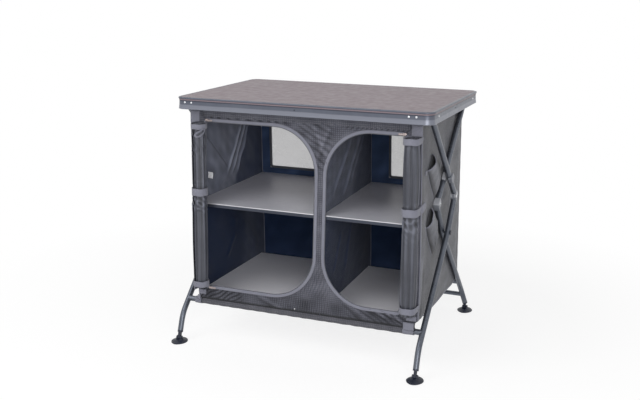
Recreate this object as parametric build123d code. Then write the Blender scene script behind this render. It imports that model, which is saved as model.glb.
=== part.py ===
from build123d import *
import math
import os

# Folding camping cupboard: a tabletop on two scissor frames, with a hung fabric body.
# Millimetres. X is the width, to the right seen from the front, Y the depth, to the back, and Z is up.
# The origin is on the ground, under the middle of the tabletop.

# Tabletop
TOP_WIDTH = 886.0
TOP_DEPTH = 595.0
TOP_HEIGHT = 846.0
RIM_HEIGHT = 40.0
RIM_WALL = 1.8
RIM_LIP = 9.0
RIM_LIP_THICK = 2.0
RIM_FOOT = 4.0
CORNER_LEG = 44.0
CORNER_RADIUS = 30.0
PANEL_THICK = 8.0
BATTEN_WIDTH = 46.0
RIVET_RADIUS = 2.6
RIVET_HEAD = 1.0
RIVET_DROP = 17.0
RIVET_PITCH = 24.0
RIVET_LEFT = 35.0
RIVET_RIGHT = 54.0
RIM_SCREW_X = -12.0
SIDE_RIVET = 73.0
SIDE_SCREW_Y = -17.0

# Frames. The front-foot frame lies in the outer plane, the rear-foot frame in the inner one
TUBE = 19.0
TUBE_WALL = 1.5
OUTER_X = 425.0
PLANE_GAP = 0.5
KNUCKLE_Y = 80.0
KNUCKLE_Z = 511.0
PIVOT_Z = 398.0
TOP_BAR_INSET = 49.5
TOP_BAR_DROP = 26.0
LEG_BEND_Y = 318.0
LEG_BEND_Z = 94.0
LEG_END_Y = 338.0
LEG_END_Z = 38.0
KNEE_RADIUS = 240.0
SHIN_RADIUS = 120.0
REAR_FOOT_SPLAY = 12.0
LOW_BAR_Z = 136.0
SPREADER_Z = 70.0
SPREADER_TUBE = 16.0

# Knuckles, pivots and saddles
KNUCKLE_LENGTH = 20.0
PLUG_LENGTH = 22.0
EAR_RADIUS = 8.5
TONGUE_THICK = 7.0
PIN_RADIUS = 2.5
PIN_HEAD_RADIUS = 4.6
PIN_HEAD_DEPTH = 1.5
PIVOT_RADIUS = 3.0
PIVOT_CAP_RADIUS = 8.0
PIVOT_CAP = 2.6
SADDLE_LENGTH = 30.0
SADDLE_WIDTH = 27.0
SADDLE_DEPTH = 12.0
SADDLE_PROUD = 2.3

# Feet
FOOT_PIN_Z = 14.0
FOOT_PIN_Y = 346.0
ANKLE_COLLAR = 6.0
FOOT_LUG = 8.0
FOOT_LUG_RADIUS = 7.0
FOOT_EAR = 5.0
PAD_WIDTH = 50.0
PAD_LENGTH = 68.0
PAD_THICK = 4.0
PAD_ROUND = 12.0

# Fabric body
CLOTH = 1.5
CLOTH_LAP = 35.0
FRONT_HALF_WIDTH = 405.0
SIDE_X = 395.5
SIDE_BOTTOM = 149.0
SLEEVE_WALL = 1.5
SLEEVE_HALF_LENGTH = 360.0
FLAP_DROP = 40.0
DIVIDER_FRONT_X = 75.0
DIVIDER_BACK_X = 57.0
DOOR_HEADROOM = 20.0
DOOR_LOW = 197.0
DOOR_LEFT_OUT = -350.0
DOOR_LEFT_IN = 49.0
DOOR_RIGHT_IN = 86.0
DOOR_RIGHT_OUT = 350.0
DOOR_ROUND = 150.0
DOOR_SMALL_ROUND = 12.0
BINDING_WIDTH = 9.0
BINDING_THICK = 2.5
WINDOW_SILL = 27.0
WINDOW_HEADROOM = 40.0
WINDOW_LEFT = -353.0
WINDOW_LEFT_IN = 15.0
WINDOW_RIGHT_IN = 133.0
WINDOW_RIGHT = 346.0
WINDOW_ROUND = 8.0
PATCH_THICK = 1.2
PATCH_LONG = 40.0

# Rolled doors and their straps
ROLL_RADIUS = 23.0
ROLL_SWELL = 3.5
ROLL_RIBS = 9
ROLL_RIB_DEPTH = 1.6
ROLL_LEFT_X = -350.0
ROLL_RIGHT_X = 384.0
ROLL_BOTTOM = 202.0
ROLL_HEADROOM = 2.0
STRAP_LOW_Z = 213.0
STRAP_MIDDLE_Z = 533.0
STRAP_TOP_DROP = 10.5
STRAP_SWELLS = (0.0, -0.8, 0.1)
STRAP_EASE = 0.8
STRAP_WIDTH = 20.0
STRAP_THICK = 1.2

# Boards
BOARD_X = 392.5
SHELF_TOP = 486.0
SHELF_THICK = 8.0
SHELF_EDGE_HEIGHT = 13.0
SHELF_EDGE_THICK = 2.0
FLOOR_TOP = 160.0
FLOOR_THICK = 8.0
FLOOR_REACH = 250.0

# Side pockets, on the right
POCKET_MOUTH_TOP = (-110.0, 690.0)
POCKET_MOUTH_LOW = (-212.0, 640.0)
POCKET_DROP = 150.0
LOW_POCKET_MOUTH_TOP = (-124.0, 509.0)
LOW_POCKET_MOUTH_LOW = (-192.0, 457.0)
LOW_POCKET_DROP = 160.0
POCKET_FOOT = 16.0
POCKET_LEAN = 58.0
POCKET_BULGE = 11.0
POCKET_WALL = 1.2

# Zip sliders
SLIDER_WIDTH = 9.0
SLIDER_LENGTH = 14.0
SLIDER_THICK = 4.5
PULL_WIDTH = 5.0
PULL_LENGTH = 20.0
SLIDER_INSET_LEFT = 7.0
SLIDER_INSET_RIGHT = 5.0
SLIDER_INSET_LOW = 22.0
PULL_THICK = 1.4

# Care tag
TAG_WIDTH = 12.0
TAG_HEIGHT = 26.0
TAG_THICK = 0.8
TAG_Y = -164.0
TAG_TOP = 572.0

# Clearances
TOUCH = 0.3
RUNNING = 0.06
SOFT_GAP = 0.35

# Worked out from the sizes above
HALF_W = TOP_WIDTH / 2
HALF_D = TOP_DEPTH / 2
TUBE_R = TUBE / 2
BORE_R = TUBE_R - TUBE_WALL
INNER_X = OUTER_X - TUBE - PLANE_GAP
TOP_BAR_Y = HALF_D - TOP_BAR_INSET
TOP_BAR_Z = TOP_HEIGHT - TOP_BAR_DROP
CLOTH_TOP = TOP_BAR_Z - CLOTH_LAP
DOOR_TOP = CLOTH_TOP - DOOR_HEADROOM
WINDOW_TOP = CLOTH_TOP - WINDOW_HEADROOM
WINDOW_BOTTOM = SHELF_TOP + WINDOW_SILL
ROLL_TOP = DOOR_TOP - ROLL_HEADROOM
STRAP_HEIGHTS = (STRAP_LOW_Z, STRAP_MIDDLE_Z, ROLL_TOP - STRAP_TOP_DROP)
LIP_ROUND = CORNER_RADIUS - RIM_LIP
CROSSING_Z = KNUCKLE_Z + (TOP_BAR_Z - KNUCKLE_Z) * KNUCKLE_Y / (KNUCKLE_Y + TOP_BAR_Y)
LOW_SLOPE = LEG_BEND_Y / (PIVOT_Z - LEG_BEND_Z)
LOW_BAR_Y = (PIVOT_Z - LOW_BAR_Z) * LOW_SLOPE
SPREADER_Y = LEG_BEND_Y + (LEG_BEND_Z - SPREADER_Z) * (LEG_END_Y - LEG_BEND_Y) / (LEG_BEND_Z - LEG_END_Z)
TO_PIVOT = math.atan2(KNUCKLE_Z - PIVOT_Z, KNUCKLE_Y)
TO_TOP_BAR = math.atan2(TOP_BAR_Z - KNUCKLE_Z, KNUCKLE_Y + TOP_BAR_Y)
PIN_Y = KNUCKLE_Y - TUBE_R / math.sin((TO_PIVOT + TO_TOP_BAR) / 2)
SLEEVE_BORE = TUBE_R + TOUCH
SLEEVE_R = SLEEVE_BORE + SLEEVE_WALL
CLOTH_TOP_Y = TOP_BAR_Y + SLEEVE_R - SLEEVE_WALL - 2 * TOUCH
CLOTH_LOW_Y = LOW_BAR_Y + SLEEVE_R + CLOTH + TOUCH
LEAN = math.degrees(math.atan((CLOTH_LOW_Y - CLOTH_TOP_Y) / (CLOTH_TOP - LOW_BAR_Z)))
PANEL_TOP = TOP_HEIGHT - RIM_LIP_THICK
BATTEN_LOW = TOP_BAR_Z + SLEEVE_R + TOUCH


def save(name, *solids):
    """Write one node's solids to its file."""
    export_step(Compound(label=name, children=list(solids)), f"parts/{name}.step")


def flipped_x(shape):
    return mirror(shape, about=Plane.YZ)


def flipped_y(shape):
    return mirror(shape, about=Plane.XZ)


def both_sides(shape):
    """The right-hand piece and its mirror image on the left."""
    return [flipped_x(shape), shape]


def solid(shape):
    """The one solid of a shape that is a single piece."""
    pieces = shape.solids()
    return pieces[0] if len(pieces) == 1 else shape


def block(x0, x1, y0, y1, z0, z1):
    middle = Pos((x0 + x1) / 2, (y0 + y1) / 2, (z0 + z1) / 2)
    return middle * Box(x1 - x0, y1 - y0, z1 - z0)


def rod(x0, x1, y, z, radius):
    """A cylinder along X."""
    return Pos((x0 + x1) / 2, y, z) * Rot(0, 90, 0) * Cylinder(radius, x1 - x0)


def slanted_rod(centre, direction, radius, length):
    """A cylinder along a direction, centred on a point."""
    return Plane(origin=centre, z_dir=direction) * Cylinder(radius, length)


def plate_x(outline, x0, x1):
    """A plate across X from its outline of (y, z) points."""
    sketch = Plane.YZ * make_face(Polyline(*outline, close=True))
    return Pos(x0, 0, 0) * extrude(sketch, x1 - x0)


def hollow_tube(path, outside, wall):
    start = Plane(origin=path @ 0, z_dir=path % 0)
    ring = start * (Circle(outside / 2) - Circle(outside / 2 - wall))
    return solid(sweep(ring, path=path))


def step_along(start, end, distance):
    """The point at a distance from start towards end, in (y, z)."""
    length = math.dist(start, end)
    return tuple(a + (b - a) * distance / length for a, b in zip(start, end))


# The frames are drawn for the front-foot frame on the right: its legs end at the front, its knuckle is
# behind, and its upper tube leans forward. The rear-foot frame is the same, turned end for end.
KNUCKLE = (KNUCKLE_Y, KNUCKLE_Z)
PIVOT = (0.0, PIVOT_Z)
SHIN = (-LEG_BEND_Y, LEG_BEND_Z)
LEG_END = (-LEG_END_Y, LEG_END_Z)
TOP_BAR = (-TOP_BAR_Y, TOP_BAR_Z)
PIN = (PIN_Y, KNUCKLE_Z)


def at(x, point):
    return (x, point[0], point[1])


def leg_path(x, splay):
    """The lower tube's line: from the knuckle through the pivot to the foot."""
    points = [
        at(x, step_along(KNUCKLE, PIVOT, KNUCKLE_LENGTH)),
        at(x, PIVOT),
        at(x, SHIN),
        at(x + splay, LEG_END),
    ]
    return FilletPolyline(*points, radius=[KNEE_RADIUS, SHIN_RADIUS])


def upper_tube(x):
    """The upper tube: from the knuckle past the crossing to the top crossbar."""
    start = at(x, step_along(KNUCKLE, TOP_BAR, KNUCKLE_LENGTH))
    end = at(x, step_along(TOP_BAR, KNUCKLE, -TUBE_R))
    return hollow_tube(Line(start, end), TUBE, TUBE_WALL)


def bar(x, y, z, diameter):
    """A crossbar along X whose ends are coped to the side tubes, which are centred at x."""
    outer = rod(-x, x, y, z, diameter / 2)
    inner = rod(-x, x, y, z, diameter / 2 - TUBE_WALL)
    return outer - inner


def bar_between(right_tube, x, y, z, diameter):
    """The crossbar cut by the two tubes that it is welded to, so that it ends on their faces."""
    piece = bar(x, y, z, diameter) - right_tube - flipped_x(right_tube)
    return max(piece.solids(), key=lambda s: s.volume)


def arm(x, towards, length, start=0.0):
    """A square arm from the knuckle's elbow along one of its tubes."""
    near = step_along(KNUCKLE, towards, start)
    angle = math.degrees(math.atan2(towards[1] - KNUCKLE[1], towards[0] - KNUCKLE[0]))
    shape = Box(TUBE, length - start, TUBE, align=(Align.CENTER, Align.MIN, Align.CENTER))
    return Pos(x, near[0], near[1]) * Rot(angle, 0, 0) * shape


def plug(x, towards, start):
    """The round end that fits in a tube's bore."""
    direction = (0, towards[0] - KNUCKLE[0], towards[1] - KNUCKLE[1])
    middle = at(x, step_along(KNUCKLE, towards, start + PLUG_LENGTH / 2))
    return slanted_rod(middle, direction, BORE_R - RUNNING, PLUG_LENGTH)


def below_elbow(x):
    low = KNUCKLE_Z - 4 * TUBE
    return block(x - TUBE, x + TUBE, PIN_Y - 2 * TUBE, KNUCKLE_Y + 2 * TUBE, low, KNUCKLE_Z - TOUCH / 2)


def above_elbow(x):
    high = KNUCKLE_Z + 4 * TUBE
    return block(x - TUBE, x + TUBE, PIN_Y - 3 * TUBE, KNUCKLE_Y + 2 * TUBE, KNUCKLE_Z + TOUCH / 2, high)


def slices(x):
    """The tongue's slice of the knuckle and the two cheeks' slices beside it, as (x0, x1)."""
    half = TONGUE_THICK / 2
    tongue = (x - half, x + half)
    cheeks = [(x - TUBE_R, x - half - TOUCH), (x + half + TOUCH, x + TUBE_R)]
    return tongue, cheeks


def knuckle_base(x):
    """The lower half of a knuckle: a plug, an elbow and the middle tongue with the pin's tight hole."""
    tongue, cheeks = slices(x)
    body = arm(x, PIVOT, KNUCKLE_LENGTH) + rod(x - TUBE_R, x + TUBE_R, *KNUCKLE, TUBE_R)
    body = body & below_elbow(x)
    for x0, x1 in cheeks:
        body = body - rod(x0 - TOUCH, x1 + TOUCH, *PIN, EAR_RADIUS + TOUCH)
    web = rod(*tongue, *PIN, EAR_RADIUS)
    body = body + web + plug(x, PIVOT, KNUCKLE_LENGTH)
    return solid(body - rod(x - TUBE, x + TUBE, *PIN, PIN_RADIUS))


def knuckle_fork(x):
    """The upper half of a knuckle: a plug, an elbow and two cheeks that turn on the pin."""
    tongue, cheeks = slices(x)
    body = arm(x, TOP_BAR, KNUCKLE_LENGTH) + rod(x - TUBE_R, x + TUBE_R, *KNUCKLE, TUBE_R)
    body = body & above_elbow(x)
    body = body - rod(tongue[0] - TOUCH, tongue[1] + TOUCH, *PIN, EAR_RADIUS + TOUCH)
    for x0, x1 in cheeks:
        body = body + rod(x0, x1, *PIN, EAR_RADIUS)
    body = body + plug(x, TOP_BAR, KNUCKLE_LENGTH)
    body = body - rod(x - TUBE, x + TUBE, *PIN, PIN_RADIUS + RUNNING)
    for side in (-1, 1):
        face = x + side * TUBE_R
        inside = face - side * (PIN_HEAD_DEPTH + TOUCH)
        recess = rod(min(face, inside), max(face, inside), *PIN, PIN_HEAD_RADIUS + TOUCH)
        body = body - recess
    return solid(body)


def knuckle_pin(x):
    """The riveted pin, with its heads let into the cheeks."""
    pin = rod(x - TUBE_R, x + TUBE_R, *PIN, PIN_RADIUS)
    for side in (-1, 1):
        face = x + side * TUBE_R
        inside = face - side * PIN_HEAD_DEPTH
        pin = pin + rod(min(face, inside), max(face, inside), *PIN, PIN_HEAD_RADIUS)
    return solid(pin)


def saddle(x, proud):
    """The moulded saddle on an upper tube at the crossing. Its outer face stands proud of the tube's."""
    direction = (0, TOP_BAR[0] - KNUCKLE[0], TOP_BAR[1] - KNUCKLE[1])
    centre = (x, 0.0, CROSSING_Z)
    tube = slanted_rod(centre, direction, TUBE_R, 3 * SADDLE_LENGTH)
    angle = math.degrees(math.atan2(direction[2], direction[1]))
    shape = Box(SADDLE_DEPTH, SADDLE_LENGTH, SADDLE_WIDTH)
    shape = fillet(shape.edges().filter_by(Axis.X), SADDLE_WIDTH / 5)
    offset = TUBE_R + proud - SADDLE_DEPTH / 2
    placed = Pos(x + offset, 0, CROSSING_Z) * Rot(angle, 0, 0) * shape
    return solid(placed - tube)


def foot_plug(x_leg, splay):
    """The black ankle: a plug in the tube's end, a collar and a lug with the foot's pin."""
    x = x_leg + splay
    end = Vector(*at(x, LEG_END))
    down = (end - Vector(*at(x_leg, SHIN))).normalized()
    inside = slanted_rod(end - down * PLUG_LENGTH / 2, down, BORE_R - RUNNING, PLUG_LENGTH)
    collar = slanted_rod(end + down * ANKLE_COLLAR / 2, down, TUBE_R, ANKLE_COLLAR)
    beyond = step_along(LEG_END, SHIN, -ANKLE_COLLAR)
    lug_outline = [
        (beyond[0] - FOOT_LUG_RADIUS, beyond[1] + 2.0),
        (beyond[0] + FOOT_LUG_RADIUS, beyond[1] + 2.0),
        (-FOOT_PIN_Y + FOOT_LUG_RADIUS * 0.98, FOOT_PIN_Z + 1.0),
        (-FOOT_PIN_Y - FOOT_LUG_RADIUS * 0.98, FOOT_PIN_Z + 1.0),
    ]
    half = FOOT_LUG / 2
    lug = plate_x(lug_outline, x - half, x + half)
    lug = lug + rod(x - half, x + half, -FOOT_PIN_Y, FOOT_PIN_Z, FOOT_LUG_RADIUS)
    reach = half + TOUCH + FOOT_EAR
    pin = rod(x - reach, x + reach, -FOOT_PIN_Y, FOOT_PIN_Z, PIN_RADIUS)
    return solid(inside + collar + lug + pin)


def foot_pad(x):
    """The flat pad with its two ears, which tilts on the foot's pin."""
    outline = Pos(x, -FOOT_PIN_Y) * Ellipse(PAD_WIDTH / 2, PAD_LENGTH / 2)
    pad = extrude(outline, PAD_THICK)
    half = FOOT_LUG / 2 + TOUCH
    for side in (-1, 1):
        x0, x1 = sorted((x + side * half, x + side * (half + FOOT_EAR)))
        ear = rod(x0, x1, -FOOT_PIN_Y, FOOT_PIN_Z, FOOT_LUG_RADIUS)
        cheek = block(x0, x1, -FOOT_PIN_Y - FOOT_LUG_RADIUS, -FOOT_PIN_Y + FOOT_LUG_RADIUS, 1.0, FOOT_PIN_Z)
        gusset = [
            (-FOOT_PIN_Y - PAD_ROUND - FOOT_LUG_RADIUS, PAD_THICK - 1.0),
            (-FOOT_PIN_Y + PAD_ROUND + FOOT_LUG_RADIUS, PAD_THICK - 1.0),
            (-FOOT_PIN_Y, FOOT_PIN_Z + FOOT_LUG_RADIUS / 2),
        ]
        pad = pad + ear + cheek + plate_x(gusset, x0, x1)
    return solid(pad - rod(x - TUBE, x + TUBE, -FOOT_PIN_Y, FOOT_PIN_Z, PIN_RADIUS + RUNNING))


def leg_with_pivot(x, splay, hole):
    tube = hollow_tube(leg_path(x, splay), TUBE, TUBE_WALL)
    return solid(tube - rod(x - TUBE, x + TUBE, 0, PIVOT_Z, hole))


def lower_pivot():
    """The pin at the lower crossing, with its plastic cap on the outside."""
    pin = rod(INNER_X - TUBE_R, OUTER_X + TUBE_R, 0, PIVOT_Z, PIVOT_RADIUS)
    cap = rod(OUTER_X + TUBE_R, OUTER_X + TUBE_R + PIVOT_CAP, 0, PIVOT_Z, PIVOT_CAP_RADIUS)
    cap = fillet(cap.edges().sort_by(Axis.X)[-1], PIVOT_CAP / 2)
    return solid(pin + cap)


def leg_filler(x, splay):
    """The leg's outside as a solid, to cope what is welded to it."""
    path = leg_path(x, splay)
    start = Plane(origin=path @ 0, z_dir=path % 0)
    return sweep(start * Circle(TUBE_R), path=path)


def upper_filler(x):
    """The upper tube's outside by the top crossbar."""
    direction = (0, TOP_BAR[0] - KNUCKLE[0], TOP_BAR[1] - KNUCKLE[1])
    return slanted_rod(at(x, TOP_BAR), direction, TUBE_R, 4 * TUBE)


def build_frame(prefix, names, x, splay, turn, saddle_proud, hole):
    """One frame: both legs, both upper tubes, its crossbars and its hinge pieces.

    turn puts the pieces in place: nothing for the front-foot frame, end for end for the rear-foot one."""
    right_leg = leg_with_pivot(x, splay, hole)
    low_bar = bar_between(leg_filler(x, splay), x, -LOW_BAR_Y, LOW_BAR_Z, TUBE)
    top_bar = bar_between(upper_filler(x), x, -TOP_BAR_Y, TOP_BAR_Z, TUBE)
    save(f"{names['leg']}_left", turn(flipped_x(right_leg)))
    save(f"{names['leg']}_right", turn(right_leg))
    save(f"{names['upper']}_left", turn(flipped_x(upper_tube(x))))
    save(f"{names['upper']}_right", turn(upper_tube(x)))
    save(f"{prefix}_low_crossbar", turn(low_bar))
    save(f"{prefix}_top_crossbar", turn(top_bar))
    save(names["base"], *[turn(s) for s in both_sides(knuckle_base(x))])
    save(names["fork"], *[turn(s) for s in both_sides(knuckle_fork(x))])
    save(names["pin"], *[turn(s) for s in both_sides(knuckle_pin(x))])
    save(names["saddle"], *[turn(s) for s in both_sides(saddle(x, saddle_proud))])
    save(f"{prefix}_ankles", *[turn(s) for s in both_sides(foot_plug(x, splay))])
    save(f"{prefix}_foot_left", turn(flipped_x(foot_pad(x + splay))))
    save(f"{prefix}_foot_right", turn(foot_pad(x + splay)))


def same(shape):
    return shape


def build_frames():
    front = {
        "leg": "front_leg",
        "upper": "front_upper_tube",
        "base": "rear_knuckle_bases",
        "fork": "rear_knuckle_forks",
        "pin": "rear_knuckle_pins",
        "saddle": "crossing_collars",
    }
    rear = {
        "leg": "rear_leg",
        "upper": "rear_upper_tube",
        "base": "front_knuckle_bases",
        "fork": "front_knuckle_forks",
        "pin": "front_knuckle_pins",
        "saddle": "crossing_plates",
    }
    build_frame("front", front, OUTER_X, 0.0, same, SADDLE_PROUD, PIVOT_RADIUS)
    build_frame("rear", rear, INNER_X, REAR_FOOT_SPLAY, flipped_y, -PLANE_GAP / 2, PIVOT_RADIUS + RUNNING)
    save("lower_pivots", *both_sides(lower_pivot()))
    rear_leg = leg_filler(INNER_X, REAR_FOOT_SPLAY)
    spreader = bar_between(rear_leg, INNER_X + REAR_FOOT_SPLAY, -SPREADER_Y, SPREADER_Z, SPREADER_TUBE)
    save("rear_spreader", flipped_y(spreader))


def rim_rail(length):
    """A length of the rim's section along X, with its outer face at y = 0 and its top at z = 0."""
    wall = block(-length / 2, length / 2, 0, RIM_WALL, -RIM_HEIGHT, 0)
    lip = block(-length / 2, length / 2, 0, RIM_LIP, -RIM_LIP_THICK, 0)
    foot = block(-length / 2, length / 2, 0, RIM_FOOT, -RIM_HEIGHT, -RIM_HEIGHT + RIM_WALL)
    return solid(wall + lip + foot)


def rim_rails():
    """Four rails, each ending where a corner piece begins."""
    wide = TOP_WIDTH - 2 * CORNER_LEG
    deep = TOP_DEPTH - 2 * CORNER_LEG
    front = Pos(0, -HALF_D, TOP_HEIGHT) * rim_rail(wide)
    right = Pos(HALF_W, 0, TOP_HEIGHT) * Rot(0, 0, 90) * rim_rail(deep)
    return [front, flipped_y(front), right, flipped_x(right)]


def rim_corner():
    """The rounded corner piece at the front right, a moulded part as high as the rim."""
    x0, y0 = HALF_W - CORNER_LEG, -HALF_D + CORNER_LEG
    outer = block(x0, HALF_W, -HALF_D, y0, TOP_HEIGHT - RIM_HEIGHT, TOP_HEIGHT)
    edge = outer.edges().filter_by(Axis.Z).sort_by(lambda e: e.center().X - e.center().Y)[-1]
    outer = fillet(edge, CORNER_RADIUS)
    low, high = TOP_HEIGHT - RIM_HEIGHT, TOP_HEIGHT - RIM_LIP_THICK
    hollow = block(x0 - 1, HALF_W - RIM_WALL, -HALF_D + RIM_WALL, y0 + 1, low - 1, high)
    edge = hollow.edges().filter_by(Axis.Z).sort_by(lambda e: e.center().X - e.center().Y)[-1]
    hollow = fillet(edge, CORNER_RADIUS - RIM_WALL)
    over = block(x0 - 1, HALF_W - RIM_LIP, -HALF_D + RIM_LIP, y0 + 1, high - 1, TOP_HEIGHT + 1)
    edge = over.edges().filter_by(Axis.Z).sort_by(lambda e: e.center().X - e.center().Y)[-1]
    over = fillet(edge, LIP_ROUND)
    return solid(outer - hollow - over)


def rounded_plate(inset, radius, z0, z1):
    """A plate with rounded corners, that far inside the tabletop's outline."""
    half_w, half_d = HALF_W - inset, HALF_D - inset
    plate = block(-half_w, half_w, -half_d, half_d, z0, z1)
    return fillet(plate.edges().filter_by(Axis.Z), radius)


def top_panel():
    """The laminated plate: its edge lies under the rim's lip, and its field is level with the lip."""
    under = rounded_plate(RIM_WALL + TOUCH, CORNER_RADIUS - RIM_WALL, PANEL_TOP - PANEL_THICK, PANEL_TOP)
    field = rounded_plate(RIM_LIP + TOUCH, LIP_ROUND - TOUCH, PANEL_TOP - TOUCH, TOP_HEIGHT)
    return solid(under + field)


def top_battens():
    """The two strips under the plate that sit on the top crossbars."""
    half_w = INNER_X - TUBE_R - TOUCH
    front = block(
        -half_w,
        half_w,
        -TOP_BAR_Y - BATTEN_WIDTH / 2,
        -TOP_BAR_Y + BATTEN_WIDTH / 2,
        BATTEN_LOW,
        PANEL_TOP - PANEL_THICK,
    )
    return [front, flipped_y(front)]


def rivet_heads():
    """Pairs of domed heads at the front and back, singles on the sides and one screw at the middle."""
    front_z = TOP_HEIGHT - RIVET_DROP
    side_z = TOP_HEIGHT - RIM_HEIGHT / 2
    heads = []
    head = Cylinder(RIVET_RADIUS, RIVET_HEAD)
    left, right = RIVET_LEFT - HALF_W, HALF_W - RIVET_RIGHT
    for x in (left, left + RIVET_PITCH, RIM_SCREW_X, right - RIVET_PITCH, right):
        front = Pos(x, -HALF_D - RIVET_HEAD / 2, front_z) * Rot(90, 0, 0) * head
        heads += [front, flipped_y(front)]
    for y in (SIDE_RIVET - HALF_D, SIDE_SCREW_Y, HALF_D - SIDE_RIVET):
        right = Pos(HALF_W + RIVET_HEAD / 2, y, side_z) * Rot(0, 90, 0) * head
        heads += [right, flipped_x(right)]
    return heads


def build_tabletop():
    corner = rim_corner()
    corners = [corner, flipped_x(corner), flipped_y(corner), flipped_y(flipped_x(corner))]
    save("rim_rails", *rim_rails())
    save("rim_corners", *corners)
    save("top_panel", top_panel())
    save("top_battens", *top_battens())
    save("rim_rivets", *rivet_heads())


def lean(shape):
    """Lean a piece drawn upright on the front, about the low crossbar's line, to the front's slope."""
    return Pos(0, -CLOTH_LOW_Y, LOW_BAR_Z) * Rot(-LEAN, 0, 0) * Pos(0, CLOTH_LOW_Y, -LOW_BAR_Z) * shape


def upright_plate(sketch, front, thick):
    """Extrude an (x, z) sketch on the front's upright plane, with its outer face `front` before it."""
    plane = Plane(origin=(0, -CLOTH_LOW_Y - front, 0), x_dir=(1, 0, 0), z_dir=(0, -1, 0))
    return extrude(plane * sketch, -thick)


def door_outline(x_out, x_in, grow=0.0):
    """A door's D: small corners on the outer side and large ones towards the middle."""
    x0, x1 = sorted((x_out, x_in))
    width, height = x1 - x0 + 2 * grow, DOOR_TOP - DOOR_LOW + 2 * grow
    shape = Pos((x0 + x1) / 2, (DOOR_TOP + DOOR_LOW) / 2) * Rectangle(width, height)
    towards = 1 if x_in > x_out else -1
    corners = shape.vertices().sort_by(lambda v: towards * v.X)
    shape = fillet(corners[-2:], DOOR_ROUND + grow)
    corners = shape.vertices().sort_by(lambda v: towards * v.X)
    return fillet(corners[:2], DOOR_SMALL_ROUND + grow)


DOORS = ((DOOR_LEFT_OUT, DOOR_LEFT_IN), (DOOR_RIGHT_OUT, DOOR_RIGHT_IN))


def front_panel():
    half = FRONT_HALF_WIDTH
    sheet = Pos(0, (LOW_BAR_Z + CLOTH_TOP) / 2) * Rectangle(2 * half, CLOTH_TOP - LOW_BAR_Z)
    for x_out, x_in in DOORS:
        sheet = sheet - door_outline(x_out, x_in)
    return lean(upright_plate(sheet, 0, CLOTH))


def door_binding(x_out, x_in):
    ring = door_outline(x_out, x_in, BINDING_WIDTH) - door_outline(x_out, x_in)
    return lean(upright_plate(ring, BINDING_THICK, BINDING_THICK))


def window_openings():
    low = Pos((WINDOW_LEFT + WINDOW_LEFT_IN) / 2, (WINDOW_BOTTOM + WINDOW_TOP) / 2)
    high = Pos((WINDOW_RIGHT + WINDOW_RIGHT_IN) / 2, (WINDOW_BOTTOM + WINDOW_TOP) / 2)
    height = WINDOW_TOP - WINDOW_BOTTOM
    return [
        low * RectangleRounded(WINDOW_LEFT_IN - WINDOW_LEFT, height, WINDOW_ROUND),
        high * RectangleRounded(WINDOW_RIGHT - WINDOW_RIGHT_IN, height, WINDOW_ROUND),
    ]


def back_panel():
    half = SIDE_X
    sheet = Pos(0, (LOW_BAR_Z + CLOTH_TOP) / 2) * Rectangle(2 * half, CLOTH_TOP - LOW_BAR_Z)
    for window in window_openings():
        sheet = sheet - window
    return flipped_y(lean(upright_plate(sheet, 0, CLOTH)))


def back_windows():
    return [flipped_y(lean(upright_plate(window, 0, CLOTH))) for window in window_openings()]


def front_inside_y(z):
    """How far before the middle the front's inner face is at a height."""
    rise = (z - LOW_BAR_Z) * math.tan(math.radians(LEAN))
    return CLOTH_LOW_Y - rise - CLOTH / math.cos(math.radians(LEAN))


def side_panel():
    gap = SOFT_GAP
    outline = [
        (-front_inside_y(SIDE_BOTTOM) + gap, SIDE_BOTTOM),
        (front_inside_y(SIDE_BOTTOM) - gap, SIDE_BOTTOM),
        (front_inside_y(CLOTH_TOP) - gap, CLOTH_TOP),
        (-front_inside_y(CLOTH_TOP) + gap, CLOTH_TOP),
    ]
    return plate_x(outline, SIDE_X - CLOTH, SIDE_X)


def divider_line(y):
    """The divider's middle, which runs a little to the left towards the back."""
    share = (y + CLOTH_LOW_Y) / (2 * CLOTH_LOW_Y)
    return DIVIDER_FRONT_X + (DIVIDER_BACK_X - DIVIDER_FRONT_X) * share


def strip_across(x0, x1, y0, y1, z0, z1):
    """A plate whose sides are straight lines, from x0(y) to x1(y)."""
    points = [(x0(y0), y0), (x1(y0), y0), (x1(y1), y1), (x0(y1), y1)]
    face = make_face(Polyline(*points, close=True))
    return Pos(0, 0, z0) * extrude(face, z1 - z0)


def divider():
    """The upright sheet between the two sides, as wide at each height as the front and back leave."""
    low, high = front_inside_y(SIDE_BOTTOM) - SOFT_GAP, front_inside_y(CLOTH_TOP) - SOFT_GAP
    outline = [(-low, SIDE_BOTTOM), (low, SIDE_BOTTOM), (high, CLOTH_TOP), (-high, CLOTH_TOP)]
    turn = math.degrees(math.atan((DIVIDER_FRONT_X - DIVIDER_BACK_X) / (2 * CLOTH_LOW_Y)))
    return Pos(divider_line(0), 0, 0) * Rot(0, 0, turn) * plate_x(outline, -CLOTH / 2, CLOTH / 2)


def board_reach(z):
    return front_inside_y(z) - SOFT_GAP - SHELF_EDGE_THICK


def boards(z_top, thick, reach):
    """The left and the right board of one level, with the divider between them."""
    gap = CLOTH / 2 + SOFT_GAP
    left = strip_across(
        lambda y: -BOARD_X, lambda y: divider_line(y) - gap, -reach, reach, z_top - thick, z_top
    )
    right = strip_across(
        lambda y: divider_line(y) + gap, lambda y: BOARD_X, -reach, reach, z_top - thick, z_top
    )
    return left, right


def shelf_edges():
    """The bright strips on the front edges of the shelf boards."""
    reach = board_reach(SHELF_TOP)
    y0 = -reach - SHELF_EDGE_THICK
    gap = CLOTH / 2 + SOFT_GAP
    z0 = SHELF_TOP - SHELF_EDGE_HEIGHT
    left = block(-BOARD_X, divider_line(y0) - gap, y0, -reach, z0, SHELF_TOP)
    right = block(divider_line(y0) + gap, BOARD_X, y0, -reach, z0, SHELF_TOP)
    return [left, right]


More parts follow.
